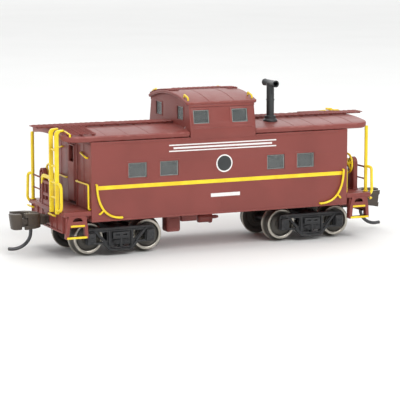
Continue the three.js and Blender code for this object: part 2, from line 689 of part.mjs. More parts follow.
// Corner post, hoop over the coupler, cross rail and the curved handrail at the steps.
function endRailing() {
  const { post, hoop, rail, handrail, plates } = RAILING;
  const foot = PLATFORM_TOP + GAP;
  const hoopPath = [
    [hoop.x, hoop.y0, foot],
    [hoop.x, hoop.y0, hoop.top],
    [hoop.x, hoop.y1, hoop.top],
    [hoop.x, hoop.y1, foot],
  ];
  const handrailPath = [
    [post.x, post.y, rail.z],
    [post.x + 0.15, handrail.reach + 0.05, rail.z - 0.1],
    [post.x + 0.2, handrail.reach, PLATFORM_TOP + 0.3],
    [post.x + 0.1, post.y, PLATFORM_TOP + 0.3],
  ];
  return join(
    upright(post.radius, post.x, post.y, foot, roofTop(post.y) - ROOF_THICK - GAP, 12),
    wire(hoopPath, hoop.radius, hoop.bend),
    wire(handrailPath, handrail.radius, handrail.bend),
    wire([[post.x, post.y, rail.z], [hoop.x, hoop.y0, rail.z]], rail.radius),
    ...plates.map(([low, high]) => box(hoop.x - 0.2, hoop.x + 0.2, hoop.y0, hoop.y1, low, high)),
  );
}

// Ladder with flat stiles that hook over the roof's end, and the handrail beside it.
function ladder() {
  const { x, stiles, rungs, rungRadius, depth, width, foot, head, handrail } = LADDER;
  const middle = x + depth / 2;
  const side = outline([
    [x, foot], [x + depth, foot], [x + depth, head - 0.9],
    [x + depth - 0.35, head - 0.25], [x + depth - 1, head],
    [x - 0.9, head], [x - 0.9, head - 0.45], [x - 0.15, head - 0.55], [x, head - 0.9],
  ]);
  const pieces = stiles.map((y) => elevation(side, y - width / 2, y + width / 2));
  for (const z of rungs) pieces.push(across(rungRadius, middle, z, stiles[0], stiles[1], 10));
  pieces.push(wire([
    [middle, stiles[1], handrail.high],
    [middle, handrail.reach - 0.05, handrail.high],
    [middle, handrail.reach, handrail.low],
    [middle, stiles[1], handrail.low],
  ], handrail.radius, handrail.bend));
  return join(...pieces);
}

// Housing of the hand brake: a channel standing on the platform, rounded over the top.
function brakeStand() {
  const { x0, x1, y, halfWidth, top } = BRAKE_STAND;
  const face = new THREE.Shape();
  face.moveTo(y - halfWidth, PLATFORM_TOP + GAP);
  face.lineTo(y + halfWidth, PLATFORM_TOP + GAP);
  face.lineTo(y + halfWidth, top - halfWidth);
  face.absarc(y, top - halfWidth, halfWidth, 0, Math.PI, false);
  return cut(
    section(face, x0, x1),
    box(x1 - 0.35, x1 + 1, y - halfWidth + 0.3, y + halfWidth - 0.3, PLATFORM_TOP + 0.4, top - halfWidth),
  );
}

function brakeWheel() {
  const { y } = BRAKE_STAND;
  const { x, z, radius, rim, hub } = BRAKE_WHEEL;
  const ring = new THREE.TorusGeometry(radius - rim, rim, 6, 20).rotateY(Math.PI / 2).translate(x, y, z);
  const pieces = [ring, along(hub, y, z, x - 0.25, BRAKE_STAND.x0 - GAP, 12)];
  for (let i = 0; i < 4; i += 1) {
    const arm = box(x - 0.12, x + 0.12, -0.13, 0.13, 0, radius - rim);
    arm.rotateX((i * Math.PI) / 2 + Math.PI / 4);
    pieces.push(arm.translate(0, y, z));
  }
  return join(...pieces);
}

// Curved grab iron at a side's end, from the stripe's level down round to the sill.
function sideGrab(side) {
  const wall = side * (BODY_HALF_WIDTH + 0.02);
  const y = side * (BODY_HALF_WIDTH + 0.28);
  const { top, corner, foot } = SIDE_GRAB;
  const start = new THREE.Vector3(top.x, y, top.z);
  const bend = new THREE.Vector3(corner.x, y, corner.z);
  const end = new THREE.Vector3(foot.x, y, foot.z);
  const arc = new THREE.QuadraticBezierCurve3(start, bend, end).getPoints(8);
  const near = Math.min(wall, y);
  const far = Math.max(wall, y);
  const radius = 0.18;
  return join(
    sweep(arc, radius, 6),
    across(radius, top.x, top.z, near, far, 6),
    across(radius, foot.x, foot.z, near, far, 6),
  );
}

// ---- trucks -------------------------------------------------------------------------------

// Openwork plate with the spring housing and two journal boxes, on the +Y side.
function sideframe() {
  const half = WHEELBASE / 2;
  const openings = SIDEFRAME_OPENINGS.flatMap((points) => [
    points,
    points.map(([x, z]) => [-x, z]),
  ]);
  const frame = cut(
    elevation(outline(SIDEFRAME_OUTLINE), SIDEFRAME_IN, SIDEFRAME_OUT),
    ...openings.map((points) => elevation(outline(points), SIDEFRAME_IN - 1, SIDEFRAME_OUT + 1)),
  );
  const pieces = [frame, box(-1.5, 1.5, SIDEFRAME_IN + 0.1, SIDEFRAME_OUT + 0.35, 2.1, 3.5)];
  for (const x of [-half, half]) {
    pieces.push(box(x - 0.7, x + 0.7, SIDEFRAME_IN + 0.1, SIDEFRAME_OUT + 0.5, 1.95, 3.7));
  }
  return join(...pieces);
}

function truckFrame() {
  const half = WHEELBASE / 2;
  const near = sideframe();
  const far = near.clone().rotateZ(Math.PI);
  const frame = join(
    near,
    far,
    box(-1.45, 1.45, -SIDEFRAME_IN - 0.2, SIDEFRAME_IN + 0.2, 3.0, 4.4),
    upright(TRUCK_BOSS, 0, 0, 4.3, TRUCK_TOP, 24),
  );
  const bearings = [];
  for (const x of [-half, half]) {
    for (const side of [-1, 1]) {
      const [low, high] = sidePair(side, SIDEFRAME_IN - 0.2, AXLE_TIP_HOLE);
      bearings.push(across(BEARING_RADIUS, x, TREAD_RADIUS, low, high, 16));
    }
  }
  return cut(frame, upright(PIVOT_SCREW.radius + 0.2, 0, 0, 2, 6), ...bearings);
}

function axle() {
  const tip = AXLE_TIP;
  return turned([
    [0, -tip], [AXLE_TIP_RADIUS, -tip],
    [AXLE_TIP_RADIUS, -SIDEFRAME_IN + 0.1], [AXLE_RADIUS, -SIDEFRAME_IN + 0.25],
    [AXLE_RADIUS, SIDEFRAME_IN - 0.25], [AXLE_TIP_RADIUS, SIDEFRAME_IN - 0.1],
    [AXLE_TIP_RADIUS, tip], [0, tip],
  ], ROUND);
}

// Wheel on the +Y side: flange inwards, dished face outwards, bored for the axle.
function wheel() {
  const bore = AXLE_RADIUS + 0.04;
  return turned([
    [bore, WHEEL_BACK], [FLANGE_RADIUS, WHEEL_BACK], [FLANGE_RADIUS, WHEEL_BACK + 0.3],
    [TREAD_RADIUS, WHEEL_BACK + 0.6], [TREAD_RADIUS, WHEEL_FACE], [TREAD_RADIUS - 0.5, WHEEL_FACE],
    [TREAD_RADIUS - 0.7, WHEEL_FACE - 0.4], [1.0, WHEEL_FACE - 0.4], [1.0, WHEEL_FACE], [bore, WHEEL_FACE],
    [bore, WHEEL_BACK],
  ], 22);
}

// ---- couplers -----------------------------------------------------------------------------

function couplerHead() {
  const low = COUPLER_CENTRE - HEAD_HALF_HEIGHT;
  const high = COUPLER_CENTRE + HEAD_HALF_HEIGHT;
  const pin = KNUCKLE_PIVOT;
  const slotLow = COUPLER_CENTRE - TAIL_HALF_HEIGHT - 0.08;
  const slotHigh = COUPLER_CENTRE + TAIL_HALF_HEIGHT + 0.08;
  const shank = SHANK;
  return join(
    cut(
      plan(outline(HEAD_OUTLINE), low, high),
      upright(KNUCKLE_BOSS + 0.14, pin.x, pin.y, slotLow, slotHigh, 24),
      box(pin.x - 0.05, 36, pin.y - KNUCKLE_BOSS - 0.14, 3.5, slotLow, slotHigh),
      upright(PIN_RADIUS + 0.06, pin.x, pin.y, low - 1, high + 1, 16),
    ),
    cut(
      join(
        box(COUPLER_PIVOT, 29.6, -shank.halfWidth, shank.halfWidth, shank.low, shank.high),
        upright(shank.halfWidth, COUPLER_PIVOT, 0, shank.low, shank.high, 24),
      ),
      upright(COUPLER_POST + 0.08, COUPLER_PIVOT, 0, 3, 8, 20),
    ),
  );
}

// The hook that swings open, with its pin moulded on.
function knuckle() {
  const pin = KNUCKLE_PIVOT;
  const low = COUPLER_CENTRE - HEAD_HALF_HEIGHT;
  const high = COUPLER_CENTRE + HEAD_HALF_HEIGHT;
  const tailLow = COUPLER_CENTRE - TAIL_HALF_HEIGHT;
  const tailHigh = COUPLER_CENTRE + TAIL_HALF_HEIGHT;
  const root = HOOK_OUTLINE[0][0];
  return join(
    plan(outline(HOOK_OUTLINE), low, high),
    box(pin.x, root + 0.2, pin.y - 0.3, pin.y + 0.5, tailLow, tailHigh),
    upright(KNUCKLE_BOSS, pin.x, pin.y, tailLow, tailHigh, 20),
    upright(PIN_RADIUS, pin.x, pin.y, low + 0.05, high - 0.05, 12),
  );
}

// Curved steel pin that hangs from the head and swings out over the rail.
function tripPin() {
  const top = COUPLER_CENTRE - HEAD_HALF_HEIGHT - 0.02;
  const corners = [[TRIP_PIN.path[0][0], top], ...TRIP_PIN.path];
  const path = new THREE.CatmullRomCurve3(corners.map(([x, z]) => new THREE.Vector3(x, TRIP_PIN.y, z)));
  return sweep(path.getPoints(10), TRIP_PIN.radius, 6);
}

// Centring spring behind the shank, a short coil lying along the car.
function centringSpring() {
  const { x0, x1, radius, wireRadius, turns } = SPRING;
  const points = [];
  const steps = turns * SPRING_STEPS;
  for (let i = 0; i <= steps; i += 1) {
    const a = (i / SPRING_STEPS) * Math.PI * 2;
    const x = x0 + ((x1 - x0) * i) / steps;
    points.push(new THREE.Vector3(x, radius * Math.cos(a), COUPLER_CENTRE + radius * Math.sin(a)));
  }
  return sweep(points, wireRadius, 4);
}

// ---- materials and assembly ---------------------------------------------------------------

const FINISHES = {
  maroon: { color: 0x98584f, roughness: 0.45, metalness: 0 },
  yellow: { color: 0xf2d21f, roughness: 0.45, metalness: 0 },
  truckBlack: { color: 0x3c3c41, roughness: 0.6, metalness: 0 },
  nickel: { color: 0xb9b6aa, roughness: 0.3, metalness: 1 },
  couplerBrown: { color: 0x4b4137, roughness: 0.55, metalness: 0 },
  charcoal: { color: 0x373a3a, roughness: 0.5, metalness: 0 },
  clear: { color: 0xaebcbc, roughness: 0.08, metalness: 0 },
  steel: { color: 0x8d8d8f, roughness: 0.35, metalness: 1 },
};

function piece(name, geometry, finish) {
  const mesh = new THREE.Mesh(geometry, new THREE.MeshStandardMaterial({ ...FINISHES[finish] }));
  mesh.name = name;
  return mesh;
}

const model = new THREE.Group();
const car = new THREE.Group();
car.position.z = FLANGE_DEPTH;
model.add(car);

car.add(piece('body_shell', bodyShell(), 'maroon'));
car.add(piece('main_roof', mainRoof(), 'maroon'));
car.add(piece('cupola_shell', cupolaShell(), 'maroon'));
car.add(piece('cupola_roof', cupolaRoof(), 'maroon'));
car.add(piece('cupola_glazing', cupolaGlazing(), 'clear'));
car.add(piece('side_glazing_left', sideGlazing(1), 'clear'));
car.add(piece('side_glazing_right', sideGlazing(-1), 'clear'));
car.add(piece('smoke_jack', smokeJack(), 'charcoal'));
car.add(piece('underframe', underframe(), 'maroon'));
car.add(piece('weight_plate', weightPlate(), 'steel'));
car.add(piece('equipment_box', equipmentBox(), 'maroon'));
car.add(piece('battery_box', batteryBox(), 'maroon'));
car.add(piece('brake_cylinder', brakeCylinder(), 'maroon'));
car.add(piece('air_reservoir', airReservoir(), 'maroon'));

// The two ends are the same mouldings, half a turn apart.
for (const end of ['front', 'rear']) {
  const half = new THREE.Group();
  half.rotation.z = end === 'front' ? 0 : Math.PI;
  car.add(half);

  half.add(piece(`running_board_${end}`, runningBoard(), 'maroon'));
  half.add(piece(`door_glazing_${end}`, doorGlazing(), 'clear'));
  half.add(piece(`end_platform_${end}`, endPlatform(), 'maroon'));
  half.add(piece(`coupler_box_lid_${end}`, couplerBoxLid(), 'charcoal'));
  half.add(piece(`lid_screw_${end}`, lidScrew(), 'steel'));
  half.add(piece(`end_railing_${end}`, endRailing(), 'yellow'));
  half.add(piece(`ladder_${end}`, ladder(), 'yellow'));
  half.add(piece(`brake_stand_${end}`, brakeStand(), 'maroon'));
  half.add(piece(`brake_wheel_${end}`, brakeWheel(), 'yellow'));
  half.add(piece(`grab_iron_${end}_right`, sideGrab(-1), 'yellow'));
  half.add(piece(`grab_iron_${end}_left`, sideGrab(1), 'yellow'));

  half.add(piece(`coupler_${end}`, couplerHead(), 'couplerBrown'));
  half.add(piece(`knuckle_${end}`, knuckle(), 'couplerBrown'));
  half.add(piece(`trip_pin_${end}`, tripPin(), 'steel'));
  half.add(piece(`centring_spring_${end}`, centringSpring(), 'steel'));

  const truck = new THREE.Group();
  truck.position.x = TRUCK_X;
  half.add(truck);
  truck.add(piece(`truck_frame_${end}`, truckFrame(), 'truckBlack'));
  truck.add(piece(`pivot_screw_${end}`, pivotScrew(), 'steel'));
  for (const [place, dx] of [['inner', -WHEELBASE / 2], ['outer', WHEELBASE / 2]]) {
    const wheelset = new THREE.Group();
    wheelset.position.set(dx, 0, TREAD_RADIUS);
    truck.add(wheelset);
    wheelset.add(piece(`axle_${end}_${place}`, axle(), 'steel'));
    wheelset.add(piece(`wheel_${end}_${place}_left`, wheel(), 'nickel'));
    const right = piece(`wheel_${end}_${place}_right`, wheel(), 'nickel');
    right.rotation.z = Math.PI;
    wheelset.add(right);
  }
}

export default model;
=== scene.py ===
"""Finished surfaces of an N scale model railway caboose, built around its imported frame.

Shapes are worked in millimetres above the rail top and put into the frame's metres at the end.
The car looks the same after half a turn, so what is on an end is shaped once at +X and turned for the rear.
"""
import math

import bmesh
import bpy
from mathutils import Matrix, Vector


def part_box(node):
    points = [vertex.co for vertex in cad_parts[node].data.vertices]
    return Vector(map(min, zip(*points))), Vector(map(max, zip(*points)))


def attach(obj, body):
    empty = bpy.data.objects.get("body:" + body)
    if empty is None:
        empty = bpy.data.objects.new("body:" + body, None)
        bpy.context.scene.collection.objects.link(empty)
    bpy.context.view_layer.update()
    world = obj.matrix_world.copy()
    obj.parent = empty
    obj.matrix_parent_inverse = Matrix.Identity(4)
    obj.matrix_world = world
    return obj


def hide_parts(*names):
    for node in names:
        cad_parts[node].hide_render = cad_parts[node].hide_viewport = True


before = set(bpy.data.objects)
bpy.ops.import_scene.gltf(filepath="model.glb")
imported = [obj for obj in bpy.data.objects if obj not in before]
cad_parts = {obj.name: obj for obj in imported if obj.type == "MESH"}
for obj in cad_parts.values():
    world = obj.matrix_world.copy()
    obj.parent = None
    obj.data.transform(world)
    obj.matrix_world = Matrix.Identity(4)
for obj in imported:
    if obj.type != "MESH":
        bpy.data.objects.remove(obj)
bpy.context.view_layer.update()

# ---- the frame's sizes, in millimetres above the rail top ---------------------------------

MM = 0.001
RAIL = 0.43                       # the wheel flanges reach this far below the rail top
GAP = 0.06                        # air between neighbouring mouldings
WELD = 1e-4
NEAR, END, FAR = 0.0, math.pi / 2, math.pi     # turns that face a plate to -Y, +X and +Y
ENDS = ("front", "rear")
SIDES = {"right": NEAR, "left": FAR}


def corners(node):
    """Lowest and highest corner of a CAD node, in millimetres above the rail top."""
    low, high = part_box(node)
    lift = Vector((0, 0, RAIL))
    return low / MM - lift, high / MM - lift


BODY_LOW, BODY = corners("body_shell")
ROOF = corners("main_roof")[1]
CUPOLA = corners("cupola_shell")[1]
LID = corners("cupola_roof")[1]
BOARD = corners("running_board_front")[1]
DECK = corners("end_platform_front")[1]
LADDER_LOW, LADDER = corners("ladder_front")
HOUSING_LOW, HOUSING = corners("brake_stand_front")

EAVE = 18.97                      # top of the side walls
WALL = 0.6                        # thickness of the mouldings
BATTEN = 0.07                     # how proud the battens stand
SEAM = {"half": 0.04, "centre": -0.2, "proud": 0.035}     # upright joint in the sides' lower sheets
WINDOW = {"centres": (-15.54, -9.87, 9.87, 15.54), "half": 1.65, "low": 12.8, "high": 15.3}
DOOR = {"half": 1.9, "low": 7.8, "high": 18.2, "recess": 0.3}
DOOR_PANE = {"half": 1.1, "low": 14.9, "high": 17.8}
ROOF_DROP = 0.75                  # camber of the main roof, from its crown to its eaves
ROOF_THICK = 0.95
ROOF_CORNER = 2.2
WELL = {"x": 5.0, "y": 7.2}       # half sizes of the opening under the cupola
PANEL_FOOT = 18.65                # the cupola's side panels lap the body down to here
CUPOLA_KNEE = 20.0                # its sides lean in from here
CUPOLA_HEAD = {"y": 8.1, "z": 24.25}
CUPOLA_DROP = 1.35                # camber of its roof
CUPOLA_LID_THICK = 0.55
CUPOLA_SIDE_WINDOW = {"centres": (-3.9, 3.2), "half": 1.45, "low": 21.2, "high": 23.5}
CUPOLA_END_WINDOW = {"centres": (-4.6, 4.6), "half": 1.3, "low": 21.6, "high": 23.8}
STRIPE = {"low": 11.1, "high": 11.75, "half": 22.75}
NAME_RULES = {"low": 16.75, "high": 17.95, "half": 9.9, "line": 0.2}
DISC = {"centre": (0.2, 14.35), "outer": 1.5, "ring": 1.28, "field": 1.3}
NUMBER_BAR = {"low": 8.75, "high": 9.35, "half": 2.7, "centre": 0.4}
BAR_GAP = (8.7, 9.4)              # the seam stops short of the printed bar
DECK_TOP = 7.7
DECK_UNDER = DECK_TOP - 0.75
RAILING_X = 28.1
POST_Y = -7.6
HOOP = (-2.5, 1.75)               # the hoop's two feet along Y
TRUCK_X = 17.84                   # the trucks' pivots
TRUCK_TOP = 5.8
AXLE_Z = 2.62
HALF_BASE = 5.24                  # from a truck's pivot to its axles
SIDEFRAME = {"back": 6.2, "face": 6.8}
SILL_END = 11.8
COUPLER_PIVOT = 26.3
COUPLER_Z = 5.5                   # middle of the couplers' heads
HEAD_LOW, HEAD_HIGH = COUPLER_Z - 1.3, COUPLER_Z + 1.3
KNUCKLE_PIN = Vector((32.35, 1.2))
MESH_PITCH = (0.93, 0.75)         # length and width of a diamond of the walks' mesh


# ---- shapes -------------------------------------------------------------------------------

def soften(part, size, segments=2, above=40):
    """Rounds every edge that turns by more than an angle, and marks the new faces as edges that wear, which
    the plastics also lighten as a painted highlight.
    """
    worn = part.faces.layers.float.get("worn") or part.faces.layers.float.new("worn")
    part.normal_update()
    turn = math.radians(above)
    sharp = [e for e in part.edges if e.is_manifold and e.calc_face_angle() > turn]
    made = bmesh.ops.bevel(
        part, geom=sharp, offset=size, offset_type="OFFSET", affect="EDGES",
        segments=segments, profile=0.5, material=-1, clamp_overlap=True,
    )
    for face in made["faces"]:
        face[worn] = 1.0
    return part


def close_up(part):
    """Welds a shape's doubles and points its faces outwards."""
    bmesh.ops.remove_doubles(part, verts=part.verts, dist=WELD)
    bmesh.ops.recalc_face_normals(part, faces=part.faces)
    return part


def around(centre, half):
    """Limits at an equal distance on both sides of a centre."""
    return centre - half, centre + half


def block(x, y, z, edge=0.06, segments=2):
    """A box between pairs of limits along X, Y and Z, with rounded edges."""
    low = Vector((min(x), min(y), min(z)))
    high = Vector((max(x), max(y), max(z)))
    part = bmesh.new()
    place = Matrix.Translation((low + high) / 2) @ Matrix.Diagonal((*(high - low), 1))
    bmesh.ops.create_cube(part, size=1, matrix=place)
    return soften(part, edge, segments) if edge else part


def drum(start, end, radius, edge=0.05, sides=24):
    """A round bar from one point to another, with rounded rims."""
    start, end = Vector(start), Vector(end)
    turn = (end - start).to_track_quat("Z", "Y").to_matrix().to_4x4()
    part = bmesh.new()
    bmesh.ops.create_cone(
        part, cap_ends=True, segments=sides, radius1=radius, radius2=radius,
        depth=(end - start).length, matrix=Matrix.Translation((start + end) / 2) @ turn,
    )
    return soften(part, edge) if edge else part


def spun(profile, centre, axis, sides=32, ring=False):
    """A profile of (radius, distance along the axis) turned all the way round."""
    centre, axis = Vector(centre), Vector(axis).normalized()
    out = axis.orthogonal().normalized()
    part = bmesh.new()
    verts = [part.verts.new(centre + out * radius + axis * along) for radius, along in profile]
    edges = [part.edges.new(pair) for pair in zip(verts, verts[1:])]
    if ring:
        edges.append(part.edges.new((verts[-1], verts[0])))
    bmesh.ops.spin(
        part, geom=verts + edges, cent=centre, axis=axis, dvec=(0, 0, 0),
        angle=math.tau, steps=sides, use_merge=True,
    )
    return close_up(part)


def rounded_path(points, bend, steps=4):
    """The points of a bent wire: straight runs with a curve at each corner."""
    points = [Vector(p) for p in points]
    path = [points[0]]
    for before, corner, after in zip(points, points[1:], points[2:]):
        back, ahead = before - corner, after - corner
        trim = min(bend, back.length * 0.49, ahead.length * 0.49)
        start = corner + back.normalized() * trim
        end = corner + ahead.normalized() * trim
        for i in range(steps + 1):
            t = i / steps
            path.append(start.lerp(corner, t).lerp(corner.lerp(end, t), t))
    return path + [points[-1]]


def wire(points, radius, bend=0.6, sides=10, steps=4):
    """Round wire along the points, closed at both ends."""
    path = rounded_path(points, bend, steps) if bend else [Vector(p) for p in points]
    part = bmesh.new()
    turn = (path[1] - path[0]).to_track_quat("Z", "Y")
    loops = []
    for i, point in enumerate(path):
        along = (path[min(i + 1, len(path) - 1)] - path[max(i - 1, 0)]).normalized()
        turn = (turn @ Vector((0, 0, 1))).rotation_difference(along) @ turn
        at_end = i in (0, len(path) - 1)
        made = bmesh.ops.create_circle(
            part, cap_ends=at_end, segments=sides, radius=radius,
            matrix=Matrix.Translation(point) @ turn.to_matrix().to_4x4(),
        )
        ring = set(made["verts"])
        loops.append([e for e in part.edges if e.verts[0] in ring and e.verts[1] in ring])
    for first, second in zip(loops, loops[1:]):
        bmesh.ops.bridge_loops(part, edges=first + second)
    return soften(close_up(part), radius * 0.35, 2, 60)


def plate(outline, depth, place, holes=(), edge=0.05, segments=2):
    """A flat plate cut to an outline with holes in it, as deep as asked along its own Z."""
    part = bmesh.new()
    edges = []
    for points in (outline, *holes):
        ring = [part.verts.new((a, b, 0)) for a, b in points]
        edges += [part.edges.new(pair) for pair in zip(ring, ring[1:] + ring[:1])]
    bmesh.ops.triangle_fill(part, use_beauty=True, use_dissolve=False, edges=edges)
    raised = bmesh.ops.extrude_face_region(part, geom=part.faces[:])
    tops = [g for g in raised["geom"] if isinstance(g, bmesh.types.BMVert)]
    bmesh.ops.translate(part, vec=(0, 0, depth), verts=tops)
    close_up(part)
    bmesh.ops.dissolve_limit(part, angle_limit=0.01, verts=part.verts, edges=part.edges)
    if edge:
        soften(part, edge, segments)
    bmesh.ops.transform(part, matrix=place, verts=part.verts)
    return part


def facing(turn, distance):
    """Where a plate lies when its own Z points to -Y, turned about Z, that far from the middle."""
    stand = Matrix.Rotation(math.pi / 2, 4, "X")
    return Matrix.Rotation(turn, 4, "Z") @ Matrix.Translation((0, -distance, 0)) @ stand


def oblong(half_width, low, high, centre=0.0):
    """Corners of an upright rectangle."""
    left, right = centre - half_width, centre + half_width
    return [(left, low), (right, low), (right, high), (left, high)]


def mirrored(points, side):
    """An outline as it is for a side of 1, and mirrored, still the same way round, for -1."""
    ordered = points if side > 0 else points[::-1]
    return [(a * side, b) for a, b in ordered]


def arc(centre, radius, start, end, steps):
    """Points of an arc, with its angles in degrees."""
    points = []
    for i in range(steps + 1):
        angle = math.radians(start + (end - start) * i / steps)
        points.append((centre[0] + radius * math.cos(angle), centre[1] + radius * math.sin(angle)))
    return points


def slice_skin(part, axis, places):
    """Cuts a skin right through at several places along an axis."""
    normal = Vector([float(i == axis) for i in range(3)])
    for place in places:
        bmesh.ops.bisect_plane(
            part, geom=[*part.verts, *part.edges, *part.faces], dist=WELD,
            plane_co=normal * place, plane_no=normal,
        )


def open_skin(part, keep):
    """Deletes the faces whose middle fails a test."""
    gone = [f for f in part.faces if not keep(f.calc_center_median())]
    bmesh.ops.delete(part, geom=gone, context="FACES")


def thicken(part, thickness):
    """Gives a skin its wall, on the inside of its faces."""
    bmesh.ops.remove_doubles(part, verts=part.verts, dist=WELD)
    bmesh.ops.recalc_face_normals(part, faces=part.faces)
    part.normal_update()
    bmesh.ops.solidify(part, geom=part.faces[:], thickness=thickness)
    return part


def arch(crown, drop, half_width):
    """Height of a cambered roof at a distance from the middle."""
    return lambda y: crown - drop * (y / half_width) ** 2


roof_top = arch(ROOF.z, ROOF_DROP, ROOF.y)
lid_top = arch(LID.z, CUPOLA_DROP, LID.y)


def expanded_metal(x, y, pitch, strand, place):
    """A sheet of diamonds between limits, with toothed edges, standing on its own XY plane."""
    part = bmesh.new()
    columns = math.ceil(max(map(abs, (*x, *y))) / min(pitch)) + 2
    cells = 2 * columns
    spread = Matrix.Diagonal((pitch[0] * math.sqrt(0.5), pitch[1] * math.sqrt(0.5), 1, 1))
    turn = Matrix.Rotation(math.pi / 4, 4, "Z")
    bmesh.ops.create_grid(
        part, x_segments=cells, y_segments=cells, size=cells / 2, matrix=spread @ turn,
    )
    open_skin(part, lambda c: x[0] < c.x < x[1] and y[0] < c.y < y[1])
    bmesh.ops.wireframe(
        part, faces=part.faces[:], thickness=strand, offset=0, use_replace=True,
        use_boundary=True, use_even_offset=True,
    )
    bmesh.ops.transform(part, matrix=place, verts=part.verts)
    return part


def gather(*parts):
    """Puts several worked shapes in one bmesh."""
    whole = bmesh.new()
    whole.faces.layers.float.new("worn")
    for part in parts:
        if not part.faces.layers.float.get("worn"):
            part.faces.layers.float.new("worn")
        holder = bpy.data.meshes.new("part")
        part.to_mesh(holder)
        part.free()
        whole.from_mesh(holder)
        bpy.data.meshes.remove(holder)
    return whole


def piece(name, body, slot, finish, nodes, *parts, rear=False, smooth=35):
    """Makes a Blender object of the shapes, turned for the rear if asked, and sets it in the frame."""
    shape = gather(*parts)
    turn = Matrix.Rotation(math.pi if rear else 0, 4, "Z")
    place = Matrix.Diagonal((MM, MM, MM, 1)) @ Matrix.Translation((0, 0, RAIL)) @ turn
    bmesh.ops.transform(shape, matrix=place, verts=shape.verts)
    mesh = bpy.data.meshes.new(name)
    shape.to_mesh(mesh)
    shape.free()
    mesh.materials.append(finish)
    mesh.shade_smooth()
    mesh.set_sharp_from_angle(angle=math.radians(smooth))
    made = bpy.data.objects.new(name, mesh)
    bpy.context.scene.collection.objects.link(made)
    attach(made, body)
    if nodes:
        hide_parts(*nodes)
    return made


# ---- finishes -----------------------------------------------------------------------------

class Value:
    """A number or colour that varies over a surface. Arithmetic on it adds Math nodes."""

    def __init__(self, finish, socket):
        self.finish = finish
        self.socket = socket

    def maths(self, operation, first, second):
        """Adds one Math node."""
        return self.finish.node("ShaderNodeMath", {"operation": operation}, {0: first, 1: second})

    def __add__(self, other):
        return self.maths("ADD", self, other)

    __radd__ = __add__

    def __sub__(self, other):
        return self.maths("SUBTRACT", self, other)

    def __rsub__(self, other):
        return self.maths("SUBTRACT", other, self)

    def __mul__(self, other):
        return self.maths("MULTIPLY", self, other)

    __rmul__ = __mul__

    def spread(self, low, high, new_low=0.0, new_high=1.0):
        """Eases the number from one range to another."""
        return self.finish.node(
            "ShaderNodeMapRange", {"interpolation_type": "SMOOTHSTEP"},
            {"Value": self, "From Min": low, "From Max": high, "To Min": new_low, "To Max": new_high},
        )


class Finish:
    """A node material, built one node at a time on the object's own coordinates."""

    def __init__(self, name, constants):
        self.material = bpy.data.materials.new(name)
        self.material.use_nodes = True
        tree = self.material.node_tree
        self.nodes = tree.nodes
        self.links = tree.links
        self.shader = next(n for n in tree.nodes if n.type == "BSDF_PRINCIPLED")
        for socket, value in constants.items():
            self.shader.inputs[socket].default_value = value
        self.place = self.node("ShaderNodeTexCoord", give="Object")

    def node(self, kind, settings=None, sockets=None, give=0):
        """Adds a node, sets it, feeds its sockets and gives one of its outputs."""
        made = self.nodes.new(kind)
        for name, value in (settings or {}).items():
            setattr(made, name, value)
        for name, value in (sockets or {}).items():
            self.join(made.inputs[name], value)
        return Value(self, made.outputs[give])

    def join(self, socket, value):
        """Links a varying value to a socket, or sets the socket to a constant."""
        if isinstance(value, Value):
            self.links.new(value.socket, socket)
        else:
            socket.default_value = value

    def feed(self, name, value):
        """Gives the shader a value."""
        self.join(self.shader.inputs[name], value)

    def noise(self, size_mm, detail=2.0, rough=0.5, stretch=None):
        """Cloudy noise with features of a size in millimetres, longer where it is stretched."""
        vector = self.place
        if stretch:
            vector = self.node("ShaderNodeMapping", None, {"Vector": self.place, "Scale": stretch})
        return self.node(
            "ShaderNodeTexNoise", None,
            {"Vector": vector, "Scale": 1 / (size_mm * MM), "Detail": detail, "Roughness": rough},
        )

    def mix(self, amount, first, second):
        """Blends two colours."""
        return self.node(
            "ShaderNodeMix", {"data_type": "RGBA"}, {0: amount, 6: first, 7: second}, give=2,
        )

    def attribute(self, name):
        """A number that the mesh carries."""
        return self.node("ShaderNodeAttribute", {"attribute_name": name}, give="Fac")

    def upward(self):
        """1 where the surface faces up, 0 where it is upright."""
        normal = self.node("ShaderNodeNewGeometry", give="Normal")
        parts = self.node("ShaderNodeSeparateXYZ", None, {0: normal}, give="Z")
        return parts.spread(0.2, 1.0)

    def bump(self, height, depth_mm, strength=1.0):
        """Raises the surface in its shading."""
        self.feed("Normal", self.node(
            "ShaderNodeBump", None, {"Height": height, "Distance": depth_mm * MM, "Strength": strength},
        ))


def moulded_plastic(name, colour, shade, edge_wear_and_highlight_colour, rough=0.42, grain=0.012, dust_and_sheen_amount=0.10):
    """Satin moulded plastic: faint flow clouds, fine grain, a pale dusting mixed with a painted sheen on
    upward faces, and pale edges that are partly wear and partly painted highlight.
    """
    finish = Finish(name, {"IOR": 1.48, "Specular IOR Level": 0.5})
    clouds = finish.noise(9.0, 3.0)
    speckle = finish.noise(0.35, 2.0)
    base = finish.mix(clouds.spread(0.35, 0.68), colour, shade)
    # upward faces turn paler in patches: partly a dusting, partly a painted sheen of light from above
    dust_and_sheen = finish.upward() * finish.noise(2.2, 4.0, 0.6).spread(0.42, 0.7) * dust_and_sheen_amount
    base = finish.mix(dust_and_sheen, base, (0.42, 0.36, 0.33, 1))
    # bevelled edges lighten: partly wear, partly a painted edge highlight
    rubbed = finish.attribute("worn") * finish.noise(1.1, 3.0).spread(0.40, 0.66) * 0.35
    base = finish.mix(rubbed, base, edge_wear_and_highlight_colour)
    finish.feed("Base Color", base)
    finish.feed("Roughness", rough + 0.10 * clouds + 0.12 * speckle - 0.11)
    finish.bump(speckle + 2.0 * finish.noise(1.6, 2.0), grain, 0.5)
    return finish.material


